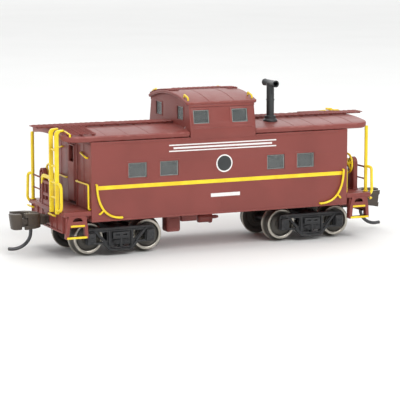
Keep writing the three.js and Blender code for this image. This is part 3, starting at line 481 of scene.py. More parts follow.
def yellow_paint():
    """Bright paint brushed over thin parts: thicker in places, thin and darker on rubbed edges."""
    finish = Finish("yellow paint", {"IOR": 1.5, "Coat Weight": 0.25, "Coat Roughness": 0.25})
    clouds = finish.noise(2.4, 3.0)
    strokes = finish.noise(0.25, 2.0, 0.5, (1, 1, 0.25))
    base = finish.mix(clouds.spread(0.3, 0.7), (0.86, 0.60, 0.008, 1), (0.96, 0.74, 0.02, 1))
    rubbed = finish.attribute("worn") * finish.noise(0.8, 3.0).spread(0.5, 0.72) * 0.5
    base = finish.mix(rubbed, base, (0.62, 0.38, 0.02, 1))
    finish.feed("Base Color", base)
    finish.feed("Roughness", 0.30 + 0.16 * clouds)
    finish.bump(strokes + clouds, 0.015, 0.6)
    return finish.material


def white_paint():
    """Printed white: flat ink, a little thin in places."""
    finish = Finish("white print", {"IOR": 1.46})
    thin = finish.noise(0.8, 3.0).spread(0.45, 0.75)
    finish.feed("Base Color", finish.mix(thin * 0.35, (0.86, 0.85, 0.83, 1), (0.70, 0.60, 0.57, 1)))
    finish.feed("Roughness", 0.42 + 0.15 * thin)
    finish.bump(finish.noise(0.3, 2.0), 0.006, 0.4)
    return finish.material


def plated_wheel():
    """Turned and plated metal with fine lathe rings; the tread and the dished web are painted near black as
    shade and dark reflection, leaving the flange edge and rim face bright.
    """
    finish = Finish("plated wheel metal", {"IOR": 1.5})
    radius = finish.attribute("radius")
    lines = finish.node(
        "ShaderNodeTexNoise", {"noise_dimensions": "1D"}, {"W": radius, "Scale": 14.0, "Detail": 4.0},
    )
    smudge = finish.noise(1.5, 3.0)
    # the tread and the dished web are painted near black: painted shade and dark reflection, not the metal's
    # own colour
    painted_shade = 1.0 - finish.attribute("lit_rings")
    bright = finish.mix(lines.spread(0.3, 0.7), (0.47, 0.44, 0.38, 1), (0.62, 0.59, 0.52, 1))
    bright = finish.mix(smudge.spread(0.5, 0.75) * 0.4, bright, (0.27, 0.24, 0.19, 1))
    finish.feed("Base Color", finish.mix(painted_shade, bright, (0.045, 0.042, 0.038, 1)))
    finish.feed("Metallic", 1.0 - 0.55 * painted_shade)
    finish.feed("Roughness", 0.24 + 0.10 * smudge + 0.08 * lines + 0.22 * painted_shade)
    finish.bump(lines, 0.012, 0.5)
    return finish.material


def plain_steel(name, colour, rough):
    """Drawn steel: streaks along it and a dull, uneven oxide."""
    finish = Finish(name, {"Metallic": 1.0})
    streaks = finish.noise(0.2, 3.0, 0.6, (0.15, 1, 1))
    oxide = finish.noise(1.4, 4.0, 0.6)
    dark = tuple(c * 0.45 for c in colour[:3]) + (1,)
    finish.feed("Base Color", finish.mix(oxide.spread(0.45, 0.75), colour, dark))
    finish.feed("Roughness", rough + 0.18 * oxide + 0.08 * streaks)
    finish.bump(streaks + oxide, 0.008, 0.5)
    return finish.material


def clear_plastic():
    """Clear moulded glazing: slightly grey, wavy, with a haze that varies."""
    finish = Finish("clear glazing", {"IOR": 1.49, "Roughness": 0.08, "Coat Weight": 0.2})
    haze = finish.noise(3.0, 2.0)
    finish.feed("Base Color", finish.mix(haze, (0.12, 0.135, 0.135, 1), (0.19, 0.205, 0.20, 1)))
    finish.feed("Alpha", 0.50 + 0.14 * haze)
    finish.feed("Roughness", 0.05 + 0.08 * haze)
    finish.bump(finish.noise(1.2, 1.0), 0.02, 0.5)
    return finish.material


def pale_rim():
    """Edge of the clear moulding, where the light gathers: pale, milky grey."""
    finish = Finish("clear glazing edge", {"IOR": 1.49, "Coat Weight": 0.3, "Coat Roughness": 0.1})
    haze = finish.noise(0.9, 2.0)
    finish.feed("Base Color", finish.mix(haze, (0.20, 0.215, 0.205, 1), (0.31, 0.32, 0.305, 1)))
    finish.feed("Roughness", 0.18 + 0.15 * haze)
    finish.bump(haze, 0.01, 0.4)
    return finish.material


def studio_floor():
    """Pale matt card with a faint tooth."""
    finish = Finish("pale card", {"IOR": 1.4, "Specular IOR Level": 0.2})
    tooth = finish.noise(0.5, 3.0)
    shade = finish.noise(40.0, 2.0)
    finish.feed("Base Color", finish.mix(shade, (0.84, 0.84, 0.83, 1), (0.88, 0.88, 0.87, 1)))
    finish.feed("Roughness", 0.72 + 0.15 * tooth)
    finish.bump(tooth, 0.01, 0.3)
    return finish.material


# each plastic's fourth colour is its pale edge colour: wear with a painted highlight
MAROON = moulded_plastic(
    "maroon plastic", (0.243, 0.054, 0.044, 1), (0.213, 0.047, 0.038, 1), (0.40, 0.155, 0.135, 1),
)
TRUCK_BLACK = moulded_plastic(
    "truck plastic", (0.028, 0.029, 0.031, 1), (0.018, 0.019, 0.021, 1), (0.13, 0.13, 0.135, 1), 0.48, 0.02,
)
COUPLER_BROWN = moulded_plastic(
    "coupler plastic", (0.075, 0.058, 0.044, 1), (0.055, 0.042, 0.034, 1), (0.16, 0.14, 0.12, 1), 0.45, 0.02,
)
CHARCOAL = moulded_plastic(
    "charcoal plastic", (0.040, 0.044, 0.045, 1), (0.028, 0.031, 0.032, 1), (0.11, 0.115, 0.115, 1),
    0.38, 0.015,
)
YELLOW = yellow_paint()
WHITE = white_paint()
WHEEL_METAL = plated_wheel()
STEEL = plain_steel("plain steel", (0.34, 0.34, 0.35, 1), 0.30)
BLACK_STEEL = plain_steel("blackened steel", (0.10, 0.10, 0.105, 1), 0.30)
GLAZING = clear_plastic()
RIM = pale_rim()

# the body, slot and finish of the pieces that are moulded or painted on the car
MAROON_PARTS = ("car", "maroon_plastic", MAROON)
YELLOW_PARTS = ("car", "yellow_paint", YELLOW)
RIM_PARTS = ("car", "clear_glazing", RIM)


# ---- body ---------------------------------------------------------------------------------

def box_skin(half_x, half_y, low, high):
    """Four upright walls, open above and below."""
    part = bmesh.new()
    size = (2 * half_x, 2 * half_y, high - low, 1)
    place = Matrix.Translation((0, 0, (low + high) / 2)) @ Matrix.Diagonal(size)
    bmesh.ops.create_cube(part, size=1, matrix=place)
    caps = [f for f in part.faces if abs(f.normal.z) > 0.5]
    bmesh.ops.delete(part, geom=caps, context="FACES_ONLY")
    return part


def in_opening(place, across, window):
    """True where a point lies in one of a row of windows."""
    inside = any(abs(across - centre) < window["half"] for centre in window["centres"])
    return inside and window["low"] < place.z < window["high"]


def body_walls():
    """The four walls with their windows, the set-back doors and the thickness of the moulding."""
    part = box_skin(BODY.x, BODY.y, BODY_LOW.z, EAVE)
    for centre in WINDOW["centres"]:
        slice_skin(part, 0, (centre - WINDOW["half"], centre + WINDOW["half"]))
    slice_skin(part, 1, (-7.6, -6.0, -4.2, -DOOR["half"], -DOOR_PANE["half"], 0))
    slice_skin(part, 1, (DOOR_PANE["half"], DOOR["half"], 4.2, 6.0, 7.6))
    slice_skin(part, 2, (DOOR["low"], WINDOW["low"], DOOR_PANE["low"], WINDOW["high"]))
    slice_skin(part, 2, (DOOR_PANE["high"], DOOR["high"]))
    for side in (-1, 1):
        leaf = [
            f for f in part.faces
            if f.calc_center_median().x * side > BODY.x - WELD
            and abs(f.calc_center_median().y) < DOOR["half"]
            and DOOR["low"] < f.calc_center_median().z < DOOR["high"]
        ]
        pushed = bmesh.ops.extrude_face_region(part, geom=leaf)
        verts = [g for g in pushed["geom"] if isinstance(g, bmesh.types.BMVert)]
        bmesh.ops.translate(part, vec=(-side * DOOR["recess"], 0, 0), verts=verts)
    pane = {"centres": (0,), **DOOR_PANE}
    side_wall = BODY.y - WELD
    end_wall = BODY.x - DOOR["recess"] - WELD
    open_skin(part, lambda c: not (
        (abs(c.y) > side_wall and in_opening(c, c.x, WINDOW))
        or (abs(c.x) > end_wall and in_opening(c, c.y, pane))
    ))
    for vert in part.verts:
        if abs(vert.co.x) > BODY.x - 1 and vert.co.z > EAVE - WELD:
            vert.co.z = max(roof_top(vert.co.y) - ROOF_THICK, EAVE - 0.05)
    return soften(thicken(part, WALL), 0.07)


def window_surround(turn, distance, centre, window, border, proud):
    """Raised rim round an opening."""
    half, low, high = window["half"], window["low"], window["high"]
    return plate(
        oblong(half + border, low - border, high + border, centre), proud + 0.25,
        facing(turn, distance - 0.25), [oblong(half, low, high, centre)], edge=0.05,
    )


def window_rim(turn, distance, centre, window, width=0.13, depth=0.3):
    """Edge of the clear moulding, standing in an opening."""
    half, low, high = window["half"] - 0.03, window["low"] + 0.03, window["high"] - 0.03
    return plate(
        oblong(half, low, high, centre), depth, facing(turn, distance - depth),
        [oblong(half - width, low + width, high - width, centre)], edge=0.04,
    )


def body():
    """The walls with their battens, window frames and painted and printed markings."""
    piece("body_walls", *MAROON_PARTS, ["body_shell"], body_walls())
    battens = []
    for side in (-1, 1):
        y = (side * (BODY.y - 0.1), side * (BODY.y + BATTEN))
        battens.append(block((-21.8, -6.05), y, (PANEL_FOOT, EAVE + 0.03), 0.05))
        battens.append(block((6.05, 21.8), y, (PANEL_FOOT, EAVE + 0.03), 0.05))
        battens.append(block((-BODY.x, BODY.x), y, (BODY_LOW.z + 0.02, BODY_LOW.z + 0.3), 0.06))
        seam_x = around(SEAM["centre"], SEAM["half"])
        seam_y = (side * (BODY.y - 0.1), side * (BODY.y + SEAM["proud"]))
        for low, high in ((BODY_LOW.z + 0.3, BAR_GAP[0]), (BAR_GAP[1], STRIPE["low"])):
            battens.append(block(seam_x, seam_y, (low, high), 0.02))
    piece("side_battens", *MAROON_PARTS, [], *battens)
    for side, turn in SIDES.items():
        frames = [window_surround(turn, BODY.y, c, WINDOW, 0.27, 0.05) for c in WINDOW["centres"]]
        piece(f"window_frames_{side}", *MAROON_PARTS, [], *frames)
        rims = [window_rim(turn, BODY.y - 0.1, c, WINDOW) for c in WINDOW["centres"]]
        piece(f"window_rims_{side}", *RIM_PARTS, [], *rims)
        stripe = plate(
            oblong(STRIPE["half"], STRIPE["low"], STRIPE["high"]), 0.06,
            facing(turn, BODY.y - 0.03), edge=0.02,
        )
        piece(f"stripe_{side}", *YELLOW_PARTS, [], stripe)
        markings(side, turn)


def markings(side, turn):
    """Plain printed rules, a plain disc and a plain bar: no letters, numbers or marks."""
    face = facing(turn, BODY.y - 0.03)
    low, high, reach, line = NAME_RULES.values()
    shapes = [
        oblong(reach, low, low + line), oblong(reach, high - line, high), oblong(reach - 0.8, 17.2, 17.5),
        oblong(NUMBER_BAR["half"], NUMBER_BAR["low"], NUMBER_BAR["high"], NUMBER_BAR["centre"]),
    ]
    rules = [plate(shape, 0.05, face, edge=0) for shape in shapes]
    circle = {name: arc(DISC["centre"], DISC[name], 0, 360, 48)[:-1] for name in ("outer", "ring", "field")}
    rules.append(plate(circle["outer"], 0.05, face, [circle["ring"]], edge=0))
    piece(f"printed_rules_{side}", "car", "maroon_plastic", WHITE, [], *rules)
    disc = plate(circle["field"], 0.045, face, edge=0)
    piece(f"printed_disc_{side}", "car", "charcoal_plastic", CHARCOAL, [], disc)


def door_trim():
    """Frame, pane border and panel of an end door, and the wall's battens, at +X."""
    half, low, high = DOOR["half"], DOOR["low"], DOOR["high"]
    frame_x = BODY.x
    leaf_x = BODY.x - DOOR["recess"]
    trim = [
        plate(
            oblong(half + 0.35, low - 0.1, high + 0.35), 0.16, facing(END, frame_x - 0.04),
            [oblong(half, low, high)], edge=0.05,
        ),
        plate(
            oblong(DOOR_PANE["half"] + 0.25, DOOR_PANE["low"] - 0.25, DOOR_PANE["high"] + 0.2), 0.14,
            facing(END, leaf_x - 0.05), [oblong(DOOR_PANE["half"], DOOR_PANE["low"], DOOR_PANE["high"])],
            edge=0.04,
        ),
        plate(
            oblong(1.35, 8.6, 13.9), 0.11, facing(END, leaf_x - 0.05), [oblong(1.15, 8.8, 13.7)], edge=0.03,
        ),
        block((frame_x - 0.05, frame_x + 0.1), (-BODY.y + 0.3, BODY.y - 0.3), (18.45, 18.6), 0.03),
    ]
    for y in (-5.4, 5.4):
        trim.append(block((frame_x - 0.05, frame_x + 0.06), around(y, 0.06), (DECK_TOP, 18.5), 0.03))
    return trim


def end_irons():
    """Handrails on an end wall at +X: a sloping grab iron and a long rail that turns down at the corner."""
    x = BODY.x + 0.32
    wall = BODY.x - 0.05
    irons = []
    for side in (-1, 1):
        high = (side * 4.5, 16.9)
        low = (side * 7.3, 16.3)
        irons.append(wire(
            [(wall, *high), (x, *high), (x, *low), (wall, *low)], 0.15, 0.25,
        ))
        irons.append(wire(
            [(wall, side * 2.35, 11.9), (x, side * 2.35, 11.9), (x, side * 8.2, 11.95),
             (x, side * 8.25, 7.9), (wall, side * 8.25, 7.9)], 0.15, 0.4,
        ))
    return irons


# ---- roof ---------------------------------------------------------------------------------

def sheet_plan(half_x, half_y, corner):
    """A flat rectangle with rounded corners."""
    part = bmesh.new()
    size = Matrix.Diagonal((half_x, half_y, 1, 1))
    bmesh.ops.create_grid(part, x_segments=1, y_segments=1, size=1, matrix=size)
    bmesh.ops.bevel(
        part, geom=part.verts[:], offset=corner, offset_type="OFFSET", affect="VERTICES",
        segments=7, profile=0.5, material=-1, clamp_overlap=True,
    )
    return part


def cambered_sheet(part, height, half_y, thickness, edge, step=0.9):
    """Bends a flat sheet to a camber, gives it thickness and rounds its rim."""
    count = int(half_y / step)
    slice_skin(part, 1, [i * half_y / (count + 0.5) for i in range(-count, count + 1)])
    for vert in part.verts:
        vert.co.z = height(vert.co.y)
    thicken(part, thickness)
    return soften(part, edge, 4, 55)


def roof_sheet():
    """The main roof, notched and open under the cupola."""
    part = sheet_plan(ROOF.x, ROOF.y, ROOF_CORNER)
    notch = {"x": CUPOLA.x + GAP, "y": BODY.y - 0.7}
    slice_skin(part, 0, (-notch["x"], -WELL["x"], WELL["x"], notch["x"]))
    slice_skin(part, 1, (-notch["y"], -WELL["y"], WELL["y"], notch["y"]))
    open_skin(part, lambda c: not (
        (abs(c.x) < notch["x"] and abs(c.y) > notch["y"])
        or (abs(c.x) < WELL["x"] and abs(c.y) < WELL["y"])
    ))
    return cambered_sheet(part, roof_top, ROOF.y, ROOF_THICK, 0.26)


def running_board():
    """The walk along the roof at +X: toothed mesh on stringers and saddles, with the sloping side step."""
    start, end, top = LID.x - 0.4, BOARD.x, BOARD.z
    half, strand = 1.5, 0.13
    mesh_top = top - strand / 2
    middle = (start + end) / 2
    parts = [expanded_metal(
        (start - middle, end - middle), (-half, half), MESH_PITCH, strand,
        Matrix.Translation((middle, 0, mesh_top)),
    )]
    low = top - 0.32
    for y in (-1.25, 0, 1.25):
        parts.append(block((start, end - 0.1), around(y, 0.11), (low, top - 0.1), 0.03))
    parts.append(block((end - 0.3, end - 0.08), (-1.36, 1.36), (low, top - 0.1), 0.03))
    for i in range(8):
        x = start + 1.2 + i * (ROOF.x - start - 2.0) / 7
        parts.append(block(around(x, 0.14), (-1.3, 1.3), (ROOF.z - 0.08, low + 0.04), 0.04))
    return parts + side_step(top)


def side_step(top):
    """The mesh step from the board down to the eave, over the ladder."""
    x, inner, outer = (22.6, 27.4), 1.35, 8.5
    middle = sum(x) / 2
    fall = 20.45 - top
    slope = math.atan2(fall, outer - inner)
    reach = (outer - inner) / math.cos(slope)
    lean = Matrix.Rotation(slope, 4, "X")
    place = Matrix.Translation((middle, inner, top - 0.07)) @ lean
    parts = [expanded_metal((x[0] - middle, x[1] - middle), (0, reach), (0.96, 0.8), 0.13, place)]
    for along in (x[0] + 0.15, middle, x[1] - 0.15):
        bearer = block((-0.1, 0.1), (0, reach - 0.1), (-0.22, -0.02), 0.03)
        shift = Matrix.Translation((along, inner, top - 0.07)) @ lean
        bmesh.ops.transform(bearer, matrix=shift, verts=bearer.verts)
        parts.append(bearer)
    for along in (x[0] + 0.5, x[1] - 0.5):
        parts.append(block(around(along, 0.15), (8.0, 8.35), (roof_top(8.2) - 0.05, 20.45), 0.03))
    return parts


def roof_iron():
    """Grab iron on the roof at the head of the ladder, at +X."""
    x, lift = 27.15, 0.3
    first, last = 5.9, 8.4
    return wire([
        (x, first, roof_top(first) - 0.05), (x, first, roof_top(first) + lift),
        (x, last, roof_top(last) + lift), (x, last, roof_top(last) - 0.05),
    ], 0.17, 0.3)


def smoke_jack():
    """Stove pipe with a flared collar, bands and a tee cap open at both ends."""
    low, high = corners("smoke_jack")
    x, y = (low.x + high.x) / 2, (low.y + high.y) / 2
    cap_z, radius = high.z - 0.6, 0.66
    foot = roof_top(y) - 0.35
    pipe = spun([
        (0, foot), (1.25, foot), (1.25, foot + 0.5), (1.1, foot + 0.72), (0.98, foot + 0.8),
        (0.98, 21.42), (0.9, 21.5), (radius, 21.52), (radius, 24.1), (radius + 0.07, 24.13),
        (radius + 0.07, 24.33), (radius, 24.36), (radius, cap_z), (0, cap_z),
    ], (x, y, 0), (0, 0, 1), 40)
    half = 2.2
    cap = spun([
        (0.5, -half), (0.6, -half + 0.06), (0.6, -half + 0.2), (0.56, -half + 0.28), (0.56, half - 0.28),
        (0.6, half - 0.2), (0.6, half - 0.06), (0.5, half), (0.44, half - 0.06), (0.44, 0.4),
        (0, 0.4), (0, -0.4), (0.44, -0.4), (0.44, -half + 0.06),
    ], (x, y, cap_z), (0, 1, 0), 32, ring=True)
    stay = wire([(x, y, 25.2), (x, y - 0.9, 25.2), (x, y - 0.9, cap_z - 0.3)], 0.05, 0.2, 6)
    return [pipe, cap, stay]


def roof_seams(places, height, reach, gap=0.0):
    """Fine raised seams across a cambered roof, from near the middle out to its edges."""
    seams = []
    for x in places:
        for side in (-1, 1):
            spread = [gap + (reach - gap) * i / 12 for i in range(13)]
            seams.append(wire([(x, side * y, height(y)) for y in spread], 0.05, 0, 6))
    return seams


def roofs():
    """Main roof, smoke jack, and the walk and grab iron over each end."""
    piece("roof_sheet", *MAROON_PARTS, ["main_roof"], roof_sheet())
    places = [side * x for side in (-1, 1) for x in (9.6, 13.4, 17.2, 21.0, 24.8)]
    piece(
        "roof_seams", *MAROON_PARTS, [], *roof_seams(places, roof_top, ROOF.y - 0.35, 1.0),
    )
    piece("smoke_jack_pipe", "car", "charcoal_plastic", CHARCOAL, ["smoke_jack"], *smoke_jack(), smooth=30)
    for end in ENDS:
        rear = end == "rear"
        piece(
            f"roof_walk_{end}", *MAROON_PARTS, [f"running_board_{end}"],
            *running_board(), rear=rear,
        )
        piece(f"roof_grab_iron_{end}", *YELLOW_PARTS, [], roof_iron(), rear=rear)


# ---- cupola -------------------------------------------------------------------------------

def cupola_half_width(z):
    """How far the cupola's leaning sides stand from the middle at a height."""
    lean = min(max((z - CUPOLA_KNEE) / (CUPOLA_HEAD["z"] - CUPOLA_KNEE), 0), 1)
    return BODY.y + 0.04 + lean * (CUPOLA_HEAD["y"] - BODY.y - 0.04)


def cupola_walls():
    """The cupola's four walls: panels that lap the body, leaning sides and arched ends."""
    half = CUPOLA.x
    part = box_skin(half, BODY.y, PANEL_FOOT, CUPOLA_HEAD["z"])
    window, end_window = CUPOLA_SIDE_WINDOW, CUPOLA_END_WINDOW
    for centre in window["centres"]:
        for x in (centre - window["half"], centre + window["half"]):
            slice_skin(part, 0, (x, -x))
    for centre in end_window["centres"]:
        slice_skin(part, 1, (centre - end_window["half"], centre + end_window["half"]))
    slice_skin(part, 1, (-8.1, -7.0, -1.6, 0, 1.6, 7.0, 8.1))
    slice_skin(part, 2, (CUPOLA_KNEE, window["low"], end_window["low"], window["high"], end_window["high"]))
    side_wall = BODY.y - WELD
    open_skin(part, lambda c: not (
        (c.y < -side_wall and in_opening(c, c.x, window))
        or (c.y > side_wall and in_opening(c, -c.x, window))
        or (abs(c.x) > half - WELD and in_opening(c, c.y, end_window))
    ))
    for vert in part.verts:
        across = abs(vert.co.y)
        if vert.co.z > CUPOLA_HEAD["z"] - WELD and abs(vert.co.x) > half - WELD:
            vert.co.z = lid_top(min(across, CUPOLA_HEAD["y"])) - CUPOLA_LID_THICK + 0.05
        if vert.co.z < PANEL_FOOT + WELD and across < BODY.y - 0.5:
            vert.co.z = roof_top(across) - 0.1
        if across > side_wall:
            vert.co.y = math.copysign(cupola_half_width(vert.co.z), vert.co.y)
    return soften(thicken(part, WALL), 0.07)


def lean_back(parts, turn):
    """Leans plates from upright to the slope of the cupola's sides."""
    angle = math.atan2(BODY.y - CUPOLA_HEAD["y"], CUPOLA_HEAD["z"] - CUPOLA_KNEE)
    hinge = Matrix.Translation((0, -BODY.y - 0.04, CUPOLA_KNEE))
    tip = hinge @ Matrix.Rotation(-angle, 4, "X") @ hinge.inverted()
    spin = Matrix.Rotation(turn, 4, "Z")
    for part in parts:
        bmesh.ops.transform(part, matrix=spin @ tip, verts=part.verts)
    return parts


def cupola():
    """The cupola with its roof, window frames, walks and grab irons."""
    piece("cupola_walls", *MAROON_PARTS, ["cupola_shell"], cupola_walls())
    lid = cambered_sheet(
        sheet_plan(LID.x, LID.y, 0.35), lid_top, LID.y, CUPOLA_LID_THICK, 0.17, 0.7,
    )
    piece("cupola_roof_sheet", *MAROON_PARTS, ["cupola_roof"], lid)
    seams = roof_seams((-2.3, 2.3), lid_top, LID.y - 0.25)
    piece("cupola_roof_seams", *MAROON_PARTS, [], *seams)
    window = CUPOLA_SIDE_WINDOW
    for side, turn in SIDES.items():
        frames = lean_back([
            window_surround(NEAR, BODY.y + 0.04, c, window, 0.3, 0.06) for c in window["centres"]
        ], turn)
        long, short, sunk = CUPOLA.x + 0.05, CUPOLA.x - 0.3, -BODY.y + 0.05
        cornice = lean_back([
            block((-long, long), (sunk, -BODY.y - 0.14), (23.98, 24.4), 0.04),
            block((-short, short), (sunk, -BODY.y - 0.09), (20.35, 20.45), 0.03),
        ], turn)
        piece(f"cupola_frames_{side}", *MAROON_PARTS, [], *frames, *cornice)
        rims = lean_back([window_rim(NEAR, BODY.y, c, window) for c in window["centres"]], turn)
        piece(f"cupola_rims_{side}", *RIM_PARTS, [], *rims)
    for end in ENDS:
        rear = end == "rear"
        window = CUPOLA_END_WINDOW
        frames = [window_surround(END, CUPOLA.x, c, window, 0.2, 0.08) for c in window["centres"]]
        piece(f"cupola_end_frames_{end}", *MAROON_PARTS, [], *frames, rear=rear)
        rims = [window_rim(END, CUPOLA.x - 0.1, c, window, 0.12) for c in window["centres"]]
        piece(f"cupola_end_rims_{end}", *RIM_PARTS, [], *rims, rear=rear)
    piece("cupola_walks", *MAROON_PARTS, [], *cupola_walks())
    piece("cupola_grab_irons", *YELLOW_PARTS, [], *cupola_irons())


def cupola_walks():
    """Mesh walks over the far half of the cupola roof, one at each end and one between them."""
    parts = []
    for x in (-5.5, 5.5):
        sheet = expanded_metal(
            (-0.9, 0.9), (-0.9, 8.0), MESH_PITCH, 0.12, Matrix.Translation((x, 0, 0.16)),
        )
        for vert in sheet.verts:
            vert.co.z += lid_top(vert.co.y)
        parts.append(sheet)
    place = Matrix.Translation((0, 1.5, lid_top(1.5) + 0.16))
    parts.append(expanded_metal((-4.6, 4.6), (-0.76, 0.76), MESH_PITCH, 0.12, place))
    for y in (-0.6, 1.0, 2.2, 3.6, 5.0, 6.4, 7.7):
        z = (lid_top(y) - 0.1, lid_top(y) + 0.12)
        for x in (-5.5, 5.5):
            parts.append(block(around(x, 0.9), around(y, 0.1), z, 0.03))
    return parts


def cupola_irons():
    """Grab irons at the four corners of the cupola's roof, and one between its walks."""
    irons = []
    for side in (-1, 1):
        for end in (-1, 1):
            x = end * 5.9
            y0, y1 = side * 6.0, side * 7.6
            irons.append(wire([
                (x, y0, lid_top(y0) - 0.05), (x, y0, lid_top(y0) + 0.5),
                (x, y1, lid_top(y1) + 0.45), (x, y1, lid_top(y1) - 0.05),
            ], 0.15, 0.25))
    z = lid_top(6.6)
    irons.append(wire([
        (3.4, 6.6, z - 0.05), (3.4, 6.6, z + 0.4), (1.2, 6.6, z + 0.4), (1.2, 6.6, z - 0.05),
    ], 0.13, 0.25))
    return irons


# ---- end platforms ------------------------------------------------------------------------

def platform():
    """Deck, end sill, coupler pocket and corner steps at +X."""
    start, end, half = BODY.x + GAP, DECK.x, BODY.y
    top = DECK_UNDER + 0.1
    pocket_x, pocket, pocket_low = (24.4, end - 0.1), 1.9, 4.4
    parts = [
        block((start, end), (-half, half), (DECK_UNDER, DECK_TOP), 0.09),
        block((start, end - 0.45), (-7.9, 7.9), (6.3, top), 0.05),
        block((start + 0.5, end - 0.5), (-half + 1.6, half - 1.6), (DECK_TOP - 0.05, DECK_TOP + 0.05), 0.03),
        block((end - 0.5, end - 0.22), (-7.7, 7.7), (4.15, top), 0.04),
        block((end - 0.5, end), (-7.75, 7.75), (4.1, 4.45), 0.07),
        block(pocket_x, (-pocket, -pocket + 0.35), (pocket_low, top), 0.06),
        block(pocket_x, (pocket - 0.35, pocket), (pocket_low, top), 0.06),
        block(pocket_x, (-pocket, pocket), (6.35, top), 0.05),
        block((pocket_x[0], 24.75), (-pocket, pocket), (pocket_low, top), 0.05),
        block((20.9, 24.6), (-1.2, 1.2), (5.25, 5.77), 0.06),
        drum((COUPLER_PIVOT, 0, 4.5), (COUPLER_PIVOT, 0, 6.4), 0.45, 0.04, 24),
    ]
    for y in (-7.5, -4.7, -2.15, 2.15, 4.7, 7.5):
        parts.append(block((end - 0.3, end - 0.04), around(y, 0.17), (4.3, DECK_UNDER + 0.05), 0.05))
    for side in (-1, 1):
        parts.extend(corner_steps(side))
    return parts


def corner_steps(side):
    """Steps at one corner: slotted outer plate, two end plates, two treads and a toe board."""
    near, far, bottom, top = 24.25, 28.15, 3.25, DECK_UNDER + 0.2
    taper, round_by = 0.45, 0.35
    outline = [
        (near, bottom), (far, bottom), (far - 0.1, 5.2),
        *arc((far - taper - round_by, top - round_by), round_by, 0, 90, 4),
        *arc((near + taper + round_by, top - round_by), round_by, 90, 180, 4), (near + 0.1, 5.2),
    ]
    slot = [(26.1 + x, 6.12 + 0.75 * z) for x, z in arc((0, 0), 0.85, 0, 180, 14)]
    window = [(24.8, 3.6), (27.65, 3.6), (27.45, 5.1), (24.95, 5.1)]
    outline, slot, window = (mirrored(points, -side) for points in (outline, slot, window))
    place = facing(NEAR if side < 0 else FAR, BODY.y - 0.42)
    outer = plate(outline, 0.42, place, [slot, window], edge=0.07)
    y_in, y_out = side * 7.6, side * (BODY.y - 0.3)
    return [
        outer,
        block((near + 0.12, near + 0.5), (y_in, y_out), (bottom, DECK_UNDER + 0.1), 0.08),
        block((far - 0.5, far - 0.12), (y_in, y_out), (bottom, DECK_UNDER + 0.1), 0.08),
        block((near + 0.1, far - 0.1), (y_in, side * (BODY.y - 0.02)), (bottom, bottom + 0.28), 0.05),
        block((near + 0.3, far - 0.3), (y_in, side * (BODY.y - 0.02)), (5.12, 5.42), 0.05),
        block((near + 0.3, far - 0.3), (side * 7.62, side * 7.8), (5.3, DECK_UNDER + 0.1), 0.04),
    ]


def tread_edges():
    """Painted nosings of the steps at +X."""
    parts = []
    for side in (-1, 1):
        y = (side * (BODY.y - 0.12), side * (BODY.y + 0.1))
        parts.append(block((24.9, 27.35), y, (5.22, 5.55), 0.07, 3))
        parts.append(block((24.5, 28.0), y, (3.27, 3.62), 0.07, 3))
    return parts


def railing_wires():
    """Yellow post, hoop crown, curved handrail and the two irons on the sill, at +X."""
    x, foot, head = RAILING_X, DECK_TOP + 0.02, roof_top(POST_Y) - ROOF_THICK
    left, right = HOOP
    wires = [
        drum((x, POST_Y, foot - 0.9), (x, POST_Y, head + 0.1), 0.3, 0.05, 16),
        drum((x, POST_Y, foot), (x, POST_Y, foot + 0.18), 0.5, 0.05, 16),
        wire([(x, left, 11.0), (x, left, 12.5), (x, right, 12.5), (x, right, 11.0)], 0.32, 1.5, 14, 8),
        wire([
            (x, POST_Y, 12.15), (x + 0.5, -8.7, 12.15), (x + 0.62, -8.75, 7.9), (x + 0.3, -8.6, 7.35),
        ], 0.25, 1.1, 12, 6),
    ]
    sunk, proud = DECK.x - 0.05, DECK.x + 0.4
    for start, end, z in ((2.3, 4.7, 6.6), (-8.5, -6.2, 6.5)):
        wires.append(wire([
            (sunk, start, z), (proud, start, z + 0.15), (proud, end, z + 0.15), (sunk, end, z),
        ], 0.16, 0.25))
    return wires


def railing_plates():
    """Maroon uprights and cross plates under the hoop, and the rail to the post, at +X."""
    x, left = RAILING_X, HOOP[0]
    parts = [block((x - 0.2, x + 0.25), around(y, 0.32), (DECK_TOP, 11.3), 0.07) for y in HOOP]
    for z in ((DECK_TOP, 8.55), (9.23, 9.75), (11.28, 11.75)):
        parts.append(block(around(x, 0.15), HOOP, z, 0.05))
    for z, radius in ((12.0, 0.16), (9.9, 0.14)):
        parts.append(wire([(x, POST_Y, z), (x, left, z)], radius, 0))
    for y in (-1.2, 0.45):
        parts.append(block(around(x, 0.1), around(y, 0.16), (8.4, 11.4), 0.04))
    return parts


def ladder_rails():
    """Flat stiles hooked over the roof, round rungs and the handrail beside them, at +X."""
    x, depth = 28.5, 0.7
    stiles = (3.9, 6.6)
    head = LADDER.z
    side = [
        (x, LADDER_LOW.z), (x + depth, LADDER_LOW.z), (x + depth, head - 0.9),
        *arc((x - 0.05, head - 0.8), 0.75, 0, 90, 6), (x - 0.9, head), (x - 0.9, head - 0.35),
        (x - 0.3, head - 0.4), (x, head - 0.8),
    ]
    parts = []
    for y in stiles:
        place = Matrix.Translation((0, y + 0.27, 0)) @ Matrix.Rotation(math.pi / 2, 4, "X")
        parts.append(plate(side, 0.54, place, edge=0.12, segments=3))
    for z in (9.86, 12.34, 15.04, 17.7):
        parts.append(drum((x + 0.38, stiles[0], z), (x + 0.38, stiles[1], z), 0.2, 0, 14))
    bend = [(stiles[1], 12.3), (8.62, 12.3), (8.72, 7.9), (stiles[1], 7.9)]
    parts.append(wire([(x + 0.35, y, z) for y, z in bend], 0.26, 1.1, 12, 6))
    return parts


